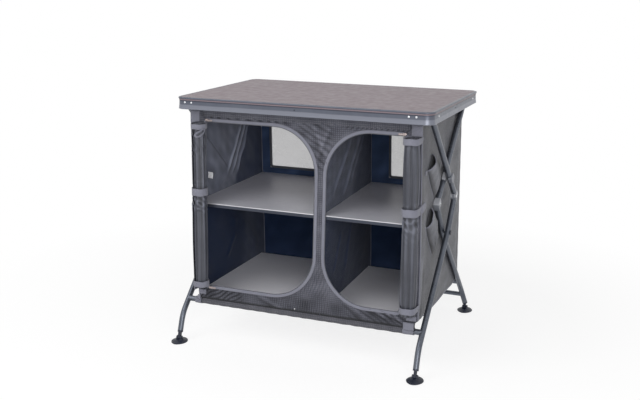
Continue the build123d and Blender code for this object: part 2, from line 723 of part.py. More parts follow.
def sleeve(y, z, flap_sign):
    """A hem round a crossbar. flap_sign is +1 for a flap that hangs down over the cloth's top, else 0."""
    ring = rod(-SLEEVE_HALF_LENGTH, SLEEVE_HALF_LENGTH, y, z, SLEEVE_R) - rod(-SLEEVE_HALF_LENGTH - 1, SLEEVE_HALF_LENGTH + 1, y, z, SLEEVE_BORE)
    if flap_sign:
        face = y - SLEEVE_R
        flap = block(-SLEEVE_HALF_LENGTH, SLEEVE_HALF_LENGTH, face, face + SLEEVE_WALL - TOUCH, z - FLAP_DROP, z)
        ring = ring + flap
    return solid(ring)


def corner_patches():
    """The light reinforcing patches at the front's upper corners."""
    patches = []
    for side in (-1, 1):
        x0 = side * (FRONT_HALF_WIDTH - 1)
        x1 = side * (FRONT_HALF_WIDTH - 1 - PATCH_LONG)
        points = [
            (x0, CLOTH_TOP - 1),
            (x1, CLOTH_TOP - 1),
            (x1, CLOTH_TOP - 10),
            (x0, CLOTH_TOP - 1 - PATCH_LONG * 0.6),
        ]
        face = make_face(Polyline(*points, close=True))
        patches.append(lean(upright_plate(face, PATCH_THICK, PATCH_THICK)))
    return patches


def ribbed_section(x, y, z, radius, phase):
    """A roll's section: a closed ring of arcs, drawn in at each turn of the cloth."""
    points = []
    for i in range(ROLL_RIBS):
        for part, r in ((0.0, radius - ROLL_RIB_DEPTH), (0.5, radius)):
            angle = 2 * math.pi * (i + part) / ROLL_RIBS + phase
            points.append((r * math.cos(angle), r * math.sin(angle)))
    arcs = []
    for i in range(ROLL_RIBS):
        start, middle, end = points[2 * i], points[2 * i + 1], points[(2 * i + 2) % len(points)]
        arcs.append(ThreePointArc(start, middle, end))
    return Plane(origin=(x, y, z), x_dir=(1, 0, 0), z_dir=(0, 0, 1)) * make_face(arcs)


def door_roll(x):
    """A rolled-up door: a ribbed roll that each strap draws in and that swells between them."""
    y = -CLOTH_LOW_Y - BINDING_THICK - SOFT_GAP - ROLL_RADIUS - ROLL_SWELL
    low, middle, high = STRAP_HEIGHTS
    stations = [
        (ROLL_BOTTOM, STRAP_SWELLS[0] + 0.1),
        (low, STRAP_SWELLS[0]),
        (low + (middle - low) * 0.3, 0.85),
        (low + (middle - low) * 0.6, 1.0),
        (middle, STRAP_SWELLS[1]),
        (middle + (high - middle) * 0.45, 0.9),
        (high, STRAP_SWELLS[2]),
        (ROLL_TOP, STRAP_SWELLS[2]),
    ]
    sections = []
    for i, (z, swell) in enumerate(stations):
        radius = ROLL_RADIUS + ROLL_SWELL * swell
        sections.append(ribbed_section(x, y, z, radius, 0.05 * i))
    return lean(loft(sections, ruled=True))


def roll_straps(x, outward):
    """The three straps round a roll. outward is +1 on the right: that tail is sewn to the front, and the
    strap goes on round the roll to its back."""
    y = -CLOTH_LOW_Y - BINDING_THICK - SOFT_GAP - ROLL_RADIUS - ROLL_SWELL
    cloth_face = -CLOTH_LOW_Y - SOFT_GAP
    bands = []
    for z, swell in zip(STRAP_HEIGHTS, STRAP_SWELLS):
        radius = ROLL_RADIUS + ROLL_SWELL * swell + STRAP_EASE
        outer = Pos(x, y, z) * Cylinder(radius + STRAP_THICK, STRAP_WIDTH)
        inner = Pos(x, y, z) * Cylinder(radius, STRAP_WIDTH + 2)
        x0, x1 = sorted((x, x + outward * 2 * radius))
        back = block(x0, x1, y, y + 3 * radius, z - STRAP_WIDTH, z + STRAP_WIDTH)
        x0, x1 = sorted((x + outward * radius, x + outward * (radius + STRAP_THICK)))
        tail = block(x0, x1, y, cloth_face, z - STRAP_WIDTH / 2, z + STRAP_WIDTH / 2)
        bands.append(solid(lean(outer - inner - back + tail)))
    return bands


def side_pocket(mouth_top, mouth_low, drop):
    """A pocket hung on the right side: open at its slanted mouth, full at the top and gathered below."""
    foot_y = (mouth_top[0] + mouth_low[0]) / 2 + POCKET_LEAN
    foot_z = (mouth_top[1] + mouth_low[1]) / 2 - drop
    foot_front = (foot_y - POCKET_FOOT / 2, foot_z)
    foot_back = (foot_y + POCKET_FOOT / 2, foot_z)
    rows = []
    for share in (0.0, 0.3, 0.62, 0.86, 1.0):
        a = tuple(m + (f - m) * share for m, f in zip(mouth_low, foot_front))
        b = tuple(m + (f - m) * share for m, f in zip(mouth_top, foot_back))
        bulge = POCKET_BULGE * (1 - 0.75 * share ** 2)
        rows.append((a, b, bulge))
    outer = loft([pocket_row(*row, 0.0) for row in rows], ruled=True)
    inner = loft([pocket_row(*row, POCKET_WALL) for row in rows[:-1]], ruled=True)
    return solid(outer - inner)


def pocket_row(a, b, bulge, inset):
    """One level of a pocket: flat against the side and bowed outward."""
    base = SIDE_X + SOFT_GAP + inset
    length = math.dist(a, b)
    along = Vector(0, b[0] - a[0], b[1] - a[1]).normalized()
    start = Vector(base, a[0], a[1]) + along * inset * 2
    end = Vector(base, b[0], b[1]) - along * inset * 2
    top = (start + end) * 0.5 + Vector(bulge - 2 * inset, 0, 0)
    arc = ThreePointArc(start, top, end)
    return make_face([arc, Line(end, start)])


def care_tag():
    """The blank tag sewn to the left side, inside."""
    x0 = -SIDE_X + CLOTH + SOFT_GAP
    return block(x0, x0 + TAG_THICK, TAG_Y, TAG_Y + TAG_WIDTH, TAG_TOP - TAG_HEIGHT, TAG_TOP)


def zip_slider(x, z, inward):
    """A slider on the zip's tape, with its pull laid along the tape. inward is +1 where that is to the right."""
    front = BINDING_THICK + SOFT_GAP + SLIDER_THICK
    body = upright_plate(Pos(x, z) * RectangleRounded(SLIDER_LENGTH, SLIDER_WIDTH, 3.0), front, SLIDER_THICK)
    pull_front = front + PULL_THICK
    pull = Pos(x + inward * PULL_LENGTH / 2, z) * RectangleRounded(PULL_LENGTH, PULL_WIDTH, 2.0)
    return solid(lean(body + upright_plate(pull, pull_front, PULL_THICK)))


def build_cloth():
    save("front_panel", front_panel())
    save("side_panel_right", side_panel())
    save("side_panel_left", flipped_x(side_panel()))
    save("back_panel", back_panel())
    save("back_windows", *back_windows())
    save("divider", divider())
    save("front_hem_sleeve", sleeve(-LOW_BAR_Y, LOW_BAR_Z, 0))
    save("rear_hem_sleeve", flipped_y(sleeve(-LOW_BAR_Y, LOW_BAR_Z, 0)))
    save("front_top_sleeve", sleeve(-TOP_BAR_Y, TOP_BAR_Z, 1))
    save("rear_top_sleeve", flipped_y(sleeve(-TOP_BAR_Y, TOP_BAR_Z, 1)))
    save("corner_patches", *corner_patches())
    save("door_binding_left", door_binding(*DOORS[0]))
    save("door_binding_right", door_binding(*DOORS[1]))
    save("door_roll_left", door_roll(ROLL_LEFT_X))
    save("door_roll_right", door_roll(ROLL_RIGHT_X))
    save("roll_straps_left", *roll_straps(ROLL_LEFT_X, -1))
    save("roll_straps_right", *roll_straps(ROLL_RIGHT_X, 1))
    upper = side_pocket(POCKET_MOUTH_TOP, POCKET_MOUTH_LOW, POCKET_DROP)
    lower = side_pocket(LOW_POCKET_MOUTH_TOP, LOW_POCKET_MOUTH_LOW, LOW_POCKET_DROP)
    save("side_pockets", upper, lower)
    save("care_tag", care_tag())


def build_boards():
    floor_left, floor_right = boards(FLOOR_TOP, FLOOR_THICK, FLOOR_REACH)
    shelf_left, shelf_right = boards(SHELF_TOP, SHELF_THICK, board_reach(SHELF_TOP))
    save("floor_board_left", floor_left)
    save("floor_board_right", floor_right)
    save("shelf_board_left", shelf_left)
    save("shelf_board_right", shelf_right)
    save("shelf_edges", *shelf_edges())


def build_sliders():
    high = DOOR_TOP + BINDING_WIDTH / 2
    low = DOOR_LOW - BINDING_WIDTH / 2
    save("zip_slider_top_left", zip_slider(DOOR_LEFT_OUT + SLIDER_INSET_LEFT, high, 1))
    save("zip_slider_top_right", zip_slider(DOOR_RIGHT_OUT - SLIDER_INSET_RIGHT, high, -1))
    save("zip_slider_bottom_left", zip_slider(DOOR_LEFT_OUT + SLIDER_INSET_LOW, low, 1))


os.makedirs("parts", exist_ok=True)
build_frames()
build_tabletop()
build_cloth()
build_boards()
build_sliders()
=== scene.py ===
import math

import bpy
import numpy as np
from mathutils import Matrix, Vector


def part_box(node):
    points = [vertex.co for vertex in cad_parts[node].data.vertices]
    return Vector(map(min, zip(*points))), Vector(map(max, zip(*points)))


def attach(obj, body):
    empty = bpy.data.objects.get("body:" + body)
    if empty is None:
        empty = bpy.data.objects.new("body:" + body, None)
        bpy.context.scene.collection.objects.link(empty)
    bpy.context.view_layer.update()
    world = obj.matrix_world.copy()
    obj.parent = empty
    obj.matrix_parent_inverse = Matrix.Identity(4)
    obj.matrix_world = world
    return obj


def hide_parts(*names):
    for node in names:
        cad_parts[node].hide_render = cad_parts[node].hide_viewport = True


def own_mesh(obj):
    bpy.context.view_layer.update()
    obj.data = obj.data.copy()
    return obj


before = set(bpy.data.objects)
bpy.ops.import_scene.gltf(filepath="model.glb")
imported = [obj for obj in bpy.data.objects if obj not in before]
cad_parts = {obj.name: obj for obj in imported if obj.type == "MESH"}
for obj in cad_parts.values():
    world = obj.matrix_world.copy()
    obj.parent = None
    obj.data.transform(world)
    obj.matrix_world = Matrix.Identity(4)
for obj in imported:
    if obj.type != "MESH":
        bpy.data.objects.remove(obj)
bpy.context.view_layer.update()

# Sizes are in millimetres here and become metres in the meshes.
MM = 0.001
FRONT_TOP_Y = 257.2
FRONT_TOP_Z = 785.0
FRONT_SLOPE = 0.0462
CLOTH_HIGH = 801.0
CLOTH_EDGE = 412.0
SIDE_X = 395.0
HEM_Y = 274.1
HEM_Z = 136.0
HEM_R = 11.5
DOORS = {"left": (-350.0, 49.0), "right": (350.0, 86.0)}
DOOR_LOW, DOOR_TOP = 197.0, 765.0
DOOR_ROUND, DOOR_SMALL_ROUND = 150.0, 12.0
ROLL_LOW, ROLL_TOP = 202.0, 763.0
ROLL_X = {"left": (-351.0, -361.0), "right": (385.0, 375.0)}
ROLL_OUT = 29.35
STRAP_HEIGHTS = {"left": (214.0, 532.0, 752.0), "right": (221.0, 534.0, 754.0)}
WINDOWS = {"left": (-353.0, 15.0), "right": (133.0, 346.0)}
WINDOW_LOW, WINDOW_TOP, WINDOW_ROUND = 513.0, 745.0, 8.0
SHELF_TOP = 486.0


# Meshes

def mesh_piece(name, verts, faces, material, uvs=None, smooth=True):
    """A mesh object from vertices in millimetres, with one UV per vertex in metres."""
    mesh = bpy.data.meshes.new(name)
    mesh.from_pydata((np.asarray(verts, float) * MM).tolist(), [], [list(map(int, f)) for f in faces])
    if uvs is not None:
        layer = mesh.uv_layers.new(name="UVMap")
        loops = np.zeros(len(mesh.loops), dtype=np.int32)
        mesh.loops.foreach_get("vertex_index", loops)
        layer.data.foreach_set("uv", np.asarray(uvs, float)[loops].ravel())
    mesh.polygons.foreach_set("use_smooth", [smooth] * len(mesh.polygons))
    mesh.materials.append(material)
    mesh.validate()
    piece = bpy.data.objects.new(name, mesh)
    bpy.context.scene.collection.objects.link(piece)
    return piece


def tint(piece, fold=None, gloom=None):
    """Store each vertex's painted highlight and shade from its folds (fold, -1 to 1) and its painted shade
    (gloom, 0 to 1).
    """
    for name, values in (("fold", fold), ("gloom", gloom)):
        if values is not None:
            layer = piece.data.attributes.new(name, "FLOAT", "POINT")
            layer.data.foreach_set("value", np.clip(np.asarray(values, np.float32).ravel(), -1, 1))


def stacked(*parts):
    """Coordinates spread to one shape and set side by side, as points or as UVs."""
    return np.stack(np.broadcast_arrays(*parts), -1)


def grid_faces(rows, cols, close_cols=False):
    """Quads of a grid whose vertex (i, j) has the index i * cols + j."""
    last = cols if close_cols else cols - 1
    i, j = (part.ravel() for part in np.meshgrid(np.arange(rows - 1), np.arange(last), indexing="ij"))
    k = (j + 1) % cols
    return np.stack([i * cols + j, i * cols + k, (i + 1) * cols + k, (i + 1) * cols + j], 1)


def grid_piece(name, points, material, uvs, close_cols=False, flip=False):
    """A sheet from an array of points, rows by columns by three."""
    faces = grid_faces(*points.shape[:2], close_cols)
    if flip:
        faces = faces[:, ::-1]
    return mesh_piece(name, points.reshape(-1, 3), faces, material, uvs.reshape(-1, 2))


def tube_piece(name, points, material, uvs, closed=False):
    """A tube from an array of rings: its ends capped, or its last ring joined to its first."""
    rows, cols = points.shape[:2]
    last = (rows - 1) * cols
    faces = grid_faces(rows, cols, close_cols=True).tolist()
    if closed:
        faces += [[last + j, last + (j + 1) % cols, (j + 1) % cols, j] for j in range(cols)]
    else:
        faces += [list(range(cols))[::-1], [last + j for j in range(cols)]]
    return mesh_piece(name, points.reshape(-1, 3), faces, material, uvs.reshape(-1, 2))


def settle(piece):
    """Apply the piece's modifiers."""
    graph = bpy.context.evaluated_depsgraph_get()
    mesh = bpy.data.meshes.new_from_object(piece.evaluated_get(graph))
    piece.modifiers.clear()
    piece.data = mesh
    return piece


def thicken(piece, thick, offset=-1.0):
    """Give a sheet its thickness in millimetres."""
    solidify = piece.modifiers.new("thick", "SOLIDIFY")
    solidify.thickness = thick * MM
    solidify.offset = offset
    return settle(piece)


def soften(piece, width):
    """Round a hard-edged piece's edges."""
    bevel = piece.modifiers.new("soft", "BEVEL")
    bevel.width = width * MM
    bevel.segments = 2
    bevel.limit_method = "ANGLE"
    return settle(piece)


def joined(name, pieces):
    """One object from several with the same material."""
    verts, faces, uvs, folds, at = [], [], [], [], 0
    for piece in pieces:
        mesh = piece.data
        co = np.array([v.co for v in mesh.vertices], float)
        verts.append(co / MM)
        fold = np.zeros(len(co), np.float32)
        if "fold" in mesh.attributes:
            mesh.attributes["fold"].data.foreach_get("value", fold)
        folds.append(fold)
        for poly in mesh.polygons:
            faces.append([v + at for v in poly.vertices])
            if mesh.uv_layers:
                layer = mesh.uv_layers[0].data
                uvs.extend(tuple(layer[i].uv) for i in poly.loop_indices)
            else:
                uvs.extend((0.0, 0.0) for _ in poly.loop_indices)
        at += len(co)
    material = pieces[0].data.materials[0]
    result = mesh_piece(name, np.concatenate(verts), faces, material)
    layer = result.data.uv_layers.new(name="UVMap")
    layer.data.foreach_set("uv", np.asarray(uvs, float).ravel())
    tint(result, fold=np.concatenate(folds))
    for piece in pieces:
        bpy.data.objects.remove(piece)
    return result


def smooth(value, low, high):
    """0 below low, 1 above high, and an even rise between."""
    t = np.clip((value - low) / (high - low), 0, 1)
    return t * t * (3 - 2 * t)


RIPPLE_WAVES = 6


def ripple(a, b, size, seed):
    """A smooth irregular field over two coordinates, about -1 to 1, with folds about `size` long."""
    draw = np.random.default_rng(seed)
    total = np.zeros(np.broadcast(a, b).shape)
    for _ in range(RIPPLE_WAVES):
        turn, phase = draw.uniform(0, 2 * math.pi, 2)
        rate = 2 * math.pi / size * draw.uniform(0.6, 1.5)
        total = total + np.sin((a * math.cos(turn) + b * math.sin(turn)) * rate + phase)
    return total / RIPPLE_WAVES * 1.6


def crease(a, b, size, seed):
    """Sharp folds between flat facets, 0 to 1."""
    return 1.0 - np.abs(np.clip(ripple(a, b, size, seed), -1, 1))


def bump(value, middle, width):
    """1 at the middle, falling smoothly to 0 about a width away."""
    return np.exp(-(((value - middle) / width) ** 2))


def along(path):
    """Distances along a polyline of points."""
    steps = np.linalg.norm(np.diff(path, axis=0), axis=1)
    return np.concatenate([[0.0], np.cumsum(steps)])


def sweep(name, path, normals, profile, material, closed=False):
    """A profile of (aside, out) points carried along a path; `out` runs along the normal or normals."""
    path = np.asarray(path, float)
    normals = np.broadcast_to(np.asarray(normals, float), path.shape)
    if closed:
        ahead, behind = np.roll(path, -1, 0), np.roll(path, 1, 0)
    else:
        ahead = np.concatenate([path[1:], path[-1:]])
        behind = np.concatenate([path[:1], path[:-1]])
    tangent = ahead - behind
    tangent /= np.linalg.norm(tangent, axis=1, keepdims=True)
    normals = normals - (normals * tangent).sum(1, keepdims=True) * tangent
    normals /= np.linalg.norm(normals, axis=1, keepdims=True)
    side = np.cross(tangent, normals)
    aside, out = profile[None, :, 0:1], profile[None, :, 1:2]
    points = path[:, None, :] + side[:, None, :] * aside + normals[:, None, :] * out
    girth = along(np.concatenate([profile, profile[:1]]))[:-1]
    uvs = stacked(along(path)[:, None], girth) * MM
    return tube_piece(name, points, material, uvs, closed)


def oval(width, height, count):
    """An oval's section."""
    turn = np.linspace(0, 2 * math.pi, count, endpoint=False)
    return np.stack([np.cos(turn) * width / 2, np.sin(turn) * height / 2], 1)


TAPE_CROWN = 0.3


def strip_profile(width, thick):
    """A flat tape's section, a little crowned."""
    aside = np.linspace(-width / 2, width / 2, 7)
    top = thick + TAPE_CROWN * (1 - (2 * aside / width) ** 2)
    upper = np.stack([aside, top], 1)[::-1]
    lower = np.stack([aside, np.zeros(7)], 1)
    return np.concatenate([lower, upper])


# How far, in metres, a turned piece's UVs run in one radian.
TURN_UV = 0.01


def lathe(name, place, axis, outline, material, count):
    """A turned piece about an axis from (distance along, radius) points."""
    axis = Vector(axis).normalized()
    side = axis.orthogonal().normalized()
    other = axis.cross(side)
    turn = np.linspace(0, 2 * math.pi, count, endpoint=False)
    ring = np.outer(np.cos(turn), side) + np.outer(np.sin(turn), other)
    outline = np.asarray(outline, float)
    ahead, radius = outline[:, None, 0:1], outline[:, None, 1:2]
    points = np.asarray(place, float) + ahead * np.asarray(axis) + radius * ring[None, :, :]
    return tube_piece(name, points, material, stacked(outline[:, 0:1] * MM, turn * TURN_UV))


# Where things are

def front_y(z, out=0.0):
    """The front cloth's outer face at a height, plus a distance outward."""
    return -(FRONT_TOP_Y + (FRONT_TOP_Z - z) * FRONT_SLOPE + out)


def on_front(path, out):
    """A path of (x, z) points laid on the front cloth, a distance outward."""
    return stacked(path[:, 0], front_y(path[:, 1], out), path[:, 1])


FRONT_NORMAL = Vector((0.0, -1.0, FRONT_SLOPE)).normalized()
BACK_NORMAL = Vector((0.0, 1.0, FRONT_SLOPE)).normalized()


def rounded_distance(x, z, x0, x1, z0, z1, radius):
    """Distance outward from a rectangle whose corners are rounded, negative inside it."""
    dx = np.abs(x - (x0 + x1) / 2) - (abs(x1 - x0) / 2 - radius)
    dz = np.abs(z - (z0 + z1) / 2) - ((z1 - z0) / 2 - radius)
    outside = np.hypot(np.maximum(dx, 0), np.maximum(dz, 0))
    return outside + np.minimum(np.maximum(dx, dz), 0) - radius


def door_distance(x, z, door):
    """Distance outward from a door's D-shaped edge, negative inside the opening."""
    x_out, x_in = DOORS[door]
    inner = (x - (x_out + x_in) / 2) * np.sign(x_in - x_out) > 0
    radius = np.where(inner, DOOR_ROUND, DOOR_SMALL_ROUND)
    return rounded_distance(x, z, x_out, x_in, DOOR_LOW, DOOR_TOP, radius)


def rounded_path(x0, x1, z0, z1, radii, step=6.0):
    """A closed path of (x, z) points round a rectangle with its own radius at each corner.

    The radii are for the corners (x0, z0), (x1, z0), (x1, z1), (x0, z1)."""
    corners = [(x0, z0), (x1, z0), (x1, z1), (x0, z1)]
    points = []
    for k, (cx, cz) in enumerate(corners):
        r = radii[k]
        inward_x, inward_z = (1 if cx == x0 else -1), (1 if cz == z0 else -1)
        centre = (cx + inward_x * r, cz + inward_z * r)
        start = math.atan2(-inward_z, -inward_x) - math.pi / 4
        count = max(4, int(r * math.pi / 2 / step) + 1)
        for t in start + np.linspace(0, math.pi / 2, count):
            points.append((centre[0] + r * math.cos(t), centre[1] + r * math.sin(t)))
    filled = []
    for a, b in zip(points, points[1:] + points[:1]):
        count = max(1, int(math.dist(a, b) / step))
        for t in range(count):
            filled.append((a[0] + (b[0] - a[0]) * t / count, a[1] + (b[1] - a[1]) * t / count))
    return np.array(filled)


def door_path(door, grow):
    """The path round a door's opening, that far outside its edge."""
    x_out, x_in = DOORS[door]
    x0, x1 = min(x_out, x_in) - grow, max(x_out, x_in) + grow
    big, small = DOOR_ROUND + grow, DOOR_SMALL_ROUND + grow
    radii = (small, big, big, small) if x_in > x_out else (big, small, small, big)
    return rounded_path(x0, x1, DOOR_LOW - grow, DOOR_TOP + grow, radii)


# Materials

def linear(red, green, blue):
    """A colour given in 0 to 255 display values, as the shader's linear values."""
    def one(v):
        v /= 255
        return v / 12.92 if v <= 0.04045 else ((v + 0.055) / 1.055) ** 2.4
    return (one(red), one(green), one(blue), 1.0)


class Graph:
    """A node tree and short ways to add to it."""

    def __init__(self, tree):
        self.nodes, self.links = tree.nodes, tree.links

    def add(self, kind, values=None, **settings):
        """A new node with its settings and with values or links on its inputs."""
        made = self.nodes.new("ShaderNode" + kind)
        for key, value in settings.items():
            setattr(made, key, value)
        for key, value in (values or {}).items():
            self.put(made.inputs[key], value)
        return made

    def put(self, socket, value):
        """A value, or the output it comes from, on an input."""
        if isinstance(value, bpy.types.NodeSocket):
            self.links.new(value, socket)
        else:
            socket.default_value = value

    def math(self, operation, a, b=0.0, c=0.0):
        made = self.add("Math", operation=operation)
        for socket, value in zip(made.inputs, (a, b, c)):
            self.put(socket, value)
        return made.outputs[0]


class Look(Graph):
    """Builds one node material on the Principled shader."""

    def __init__(self, name, **values):
        self.material = bpy.data.materials.new(name)
        self.material.use_nodes = True
        super().__init__(self.material.node_tree)
        self.shader = self.nodes["Principled BSDF"]
        for key, value in values.items():
            self.shader.inputs[key.replace("_", " ")].default_value = value
        self.place = self.add("TexCoord")

    def noise(self, coord, scale, detail=3.0, roughness=0.55):
        values = {"Vector": coord, "Scale": scale, "Detail": detail, "Roughness": roughness}
        return self.add("TexNoise", values).outputs["Fac"]

    def mix(self, share, a, b):
        made = self.add("Mix", data_type="RGBA")
        self.put(made.inputs[0], share)
        self.put(made.inputs[6], a)
        self.put(made.inputs[7], b)
        return made.outputs[2]

    def scaled(self, coord, x, y, z=1.0):
        made = self.add("Mapping", {"Vector": coord})
        made.inputs["Scale"].default_value = (x, y, z)
        return made.outputs[0]

    def spread(self, value, low, high, to_low=0.0, to_high=1.0):
        """A value's range carried over to another range."""
        values = {"Value": value, "From Min": low, "From Max": high, "To Min": to_low, "To Max": to_high}
        return self.add("MapRange", values).outputs[0]

    def clamped(self, share):
        return self.math("MAXIMUM", self.math("MINIMUM", share, 1.0), 0.0)

    def relief(self, height, depth):
        """Bump of a depth in metres."""
        made = self.add("Bump", {"Height": height, "Distance": depth, "Strength": 1.0})
        self.links.new(made.outputs[0], self.shader.inputs["Normal"])

    def colour(self, socket):
        self.links.new(socket, self.shader.inputs["Base Color"])

    def rough(self, socket):
        self.links.new(socket, self.shader.inputs["Roughness"])


# Navy painted shade, mixed into linings by the gloom.
PAINTED_SHADE_NAVY = linear(22, 38, 68)
WEAVE_DRIFT = 0.0042


def wave_of(look, socket, pitch):
    """The sine of a coordinate with a pitch in metres."""
    return look.math("SINE", look.math("MULTIPLY", socket, 2 * math.pi / pitch))


def shade(colour, gain):
    """A linear colour made brighter or darker."""
    return tuple(min(1.0, v * gain) for v in colour[:3]) + (1.0,)


def cloth_look(name, light, dark, pitch, depth, rough, sheen, contrast, grid=None, deep=0.3, glint=1.9):
    """Woven cloth: crossing threads, a mottled tone, painted shade and highlight along its folds, painted
    shade on linings, and a coarser grid of a pitch `grid`.
    """
    look = Look(name, Roughness=rough, Sheen_Weight=sheen, Sheen_Roughness=0.5)
    look.shader.inputs["Specular IOR Level"].default_value = 0.12 if "lining" in name else 0.35
    uv = look.place.outputs["UV"]
    split = look.add("SeparateXYZ", {"Vector": uv})
    across, up = split.outputs[0], split.outputs[1]
    threads = look.math("MULTIPLY", wave_of(look, across, pitch), wave_of(look, up, pitch))
    tone = look.noise(uv, 14.0, 4.0, 0.6)
    fine = look.noise(look.scaled(uv, 900.0, 900.0), 1.0, 2.0)
    share = look.math("MULTIPLY_ADD", threads, contrast * 0.5, look.spread(tone, 0.3, 0.7, 0.25, 0.75))
    share = look.math("MULTIPLY_ADD", look.math("SUBTRACT", fine, 0.5), contrast, share)
    height = threads
    if grid:
        drift = look.add("TexNoise", {"Vector": uv, "Scale": 55.0, "Detail": 2.0}).outputs["Color"]
        bent = look.add("VectorMath", {0: drift, 1: (WEAVE_DRIFT,) * 3, 2: uv}, operation="MULTIPLY_ADD")
        turned = look.add("SeparateXYZ", {"Vector": bent.outputs[0]})
        lines = look.math(
            "MAXIMUM",
            look.spread(wave_of(look, turned.outputs[0], grid), 0.0, 0.95),
            look.spread(wave_of(look, turned.outputs[1], grid * 0.96), 0.0, 0.95),
        )
        share = look.math("MULTIPLY_ADD", look.math("SUBTRACT", 0.5, lines), contrast * 1.3, share)
        height = look.math("MULTIPLY_ADD", lines, -1.8, threads)
    colour = look.mix(look.clamped(share), dark, light)
    # The fold values paint shade into the valleys, by deep, and a highlight onto the ridges, by glint.
    fold = look.add("Attribute", attribute_name="fold").outputs["Fac"]
    colour = look.mix(look.spread(fold, 0.0, -1.0), colour, shade(dark, deep))
    colour = look.mix(look.spread(fold, 0.0, 1.0), colour, shade(light, glint))
    # On linings the gloom paints shade, in navy.
    if "lining" in name:
        gloom = look.add("Attribute", attribute_name="gloom").outputs["Fac"]
        colour = look.mix(gloom, colour, PAINTED_SHADE_NAVY)
    look.colour(colour)
    look.relief(height, depth)
    return look


LOOKS = {}

# Each cloth's light and dark colours, thread pitch, relief, roughness, sheen and contrast; then, where
# they aren't the usual ones, its grid's pitch, how far its folds' painted shade darkens it and how far
# their painted highlight brightens it.
CLOTHS = {
    "front_weave": ((118, 119, 130), (62, 63, 74), 0.0016, 0.0003, 0.85, 0.1, 0.42, 0.0068),
    "hem_weave": ((108, 108, 116), (64, 64, 72), 0.0022, 0.0003, 0.9, 0.15, 0.4, 0.0062),
    "roll_cloth": ((80, 82, 91), (62, 64, 73), 0.0009, 0.00006, 0.36, 0.06, 0.2, None, 0.35, 2.6),
    "grey_cloth": ((98, 100, 108), (80, 82, 90), 0.0009, 0.00008, 0.6, 0.1, 0.2),
    "lining": ((80, 100, 136), (60, 76, 106), 0.0009, 0.00008, 0.6, 0.1, 0.2),
    "lining_side": ((128, 132, 146), (106, 110, 124), 0.0009, 0.00008, 0.55, 0.1, 0.2),
    "lining_pocket_shade": ((20, 26, 40), (12, 16, 28), 0.0009, 0.00008, 0.8, 0.05, 0.2),
    # This dark lining is painted shade, seen inside the pockets' mouths.
    "side_cloth": ((86, 87, 94), (66, 67, 74), 0.0009, 0.00008, 0.5, 0.1, 0.2),
    "light_trim": ((136, 137, 149), (114, 115, 128), 0.0022, 0.0002, 0.75, 0.2, 0.35),
    "tag_cloth": ((252, 252, 253), (244, 244, 247), 0.0006, 0.00004, 0.7, 0.1, 0.15),
}

for look_name, (light, dark, *values) in CLOTHS.items():
    LOOKS[look_name] = cloth_look(look_name, linear(*light), linear(*dark), *values).material


def painted_look(name, light, dark, metallic, rough, grain, depth, wear):
    """A painted or brushed surface: fine orange peel, uneven gloss, and edges worn lighter."""
    look = Look(name, Metallic=metallic)
    place = look.place.outputs["Object"]
    tone = look.noise(place, 26.0, 5.0, 0.6)
    peel = look.noise(place, grain, 2.0)
    scuffs = look.noise(look.scaled(place, 60.0, 60.0, 420.0), 1.0, 4.0, 0.7)
    edge = look.spread(look.add("NewGeometry").outputs["Pointiness"], 0.53, 0.62)
    share = look.math("MULTIPLY_ADD", edge, wear, look.spread(tone, 0.3, 0.7, 0.2, 0.7))
    share = look.math("MULTIPLY_ADD", look.spread(scuffs, 0.68, 0.8), wear, share)
    look.colour(look.mix(look.math("MINIMUM", share, 1.0), dark, light))
    look.rough(look.spread(look.noise(place, 90.0, 3.0), 0.3, 0.7, rough * 0.85, rough * 1.2))
    look.relief(peel, depth)
    return look


# Each painted part's light and dark colours, metallic share, roughness, grain, relief and wear.
PAINTS = {
    "frame_tube": ((104, 108, 117), (72, 77, 87), 0.7, 0.3, 1400.0, 0.00003, 0.25),
    "black_plastic": ((28, 36, 54), (12, 17, 31), 0.0, 0.5, 2200.0, 0.00006, 0.35),
    "hinge_plastic": ((128, 131, 139), (100, 103, 111), 0.0, 0.42, 2200.0, 0.00005, 0.4),
    "hinge_light": ((172, 174, 180), (142, 144, 151), 0.1, 0.4, 2200.0, 0.00005, 0.4),
    "pin_steel": ((236, 237, 240), (206, 208, 212), 0.6, 0.28, 1800.0, 0.00002, 0.3),
    "zip_metal": ((196, 184, 181), (150, 138, 137), 0.8, 0.3, 900.0, 0.00003, 0.4),
}

for look_name, (light, dark, *values) in PAINTS.items():
    LOOKS[look_name] = painted_look(look_name, linear(*light), linear(*dark), *values).material


def board_edge_look():
    """A shelf's metal edge: a painted highlight along its top line, and dark below it."""
    light, dark = linear(70, 74, 86), linear(46, 50, 62)
    look = painted_look("board_edge", light, dark, 0.5, 0.35, 1100.0, 0.00002, 0.2)
    height = look.add("SeparateXYZ", {"Vector": look.place.outputs["Object"]}).outputs[2]
    # A painted highlight, with streaks, along the edge's top line.
    top_highlight = look.spread(height, (SHELF_TOP - 3.6) * MM, (SHELF_TOP - 2.0) * MM)
    streaks = look.noise(look.scaled(look.place.outputs["Object"], 12.0, 12.0, 400.0), 1.0, 3.0)
    bright = look.mix(look.spread(streaks, 0.3, 0.7), linear(196, 197, 203), linear(226, 226, 230))
    dull = look.shader.inputs["Base Color"].links[0].from_socket
    look.colour(look.mix(top_highlight, dull, bright))
    return look


LOOKS["board_edge"] = board_edge_look().material


# Heights in metres between which the rim's painted shade under its lip fades in and fades out again at the
# lip, and between which its painted highlight on the flare fades in.
RIM_PAINTED_SHADE, RIM_LIP, RIM_FLARE_HIGHLIGHT = (0.833, 0.8355), (0.8425, 0.8415), (0.8245, 0.8215)


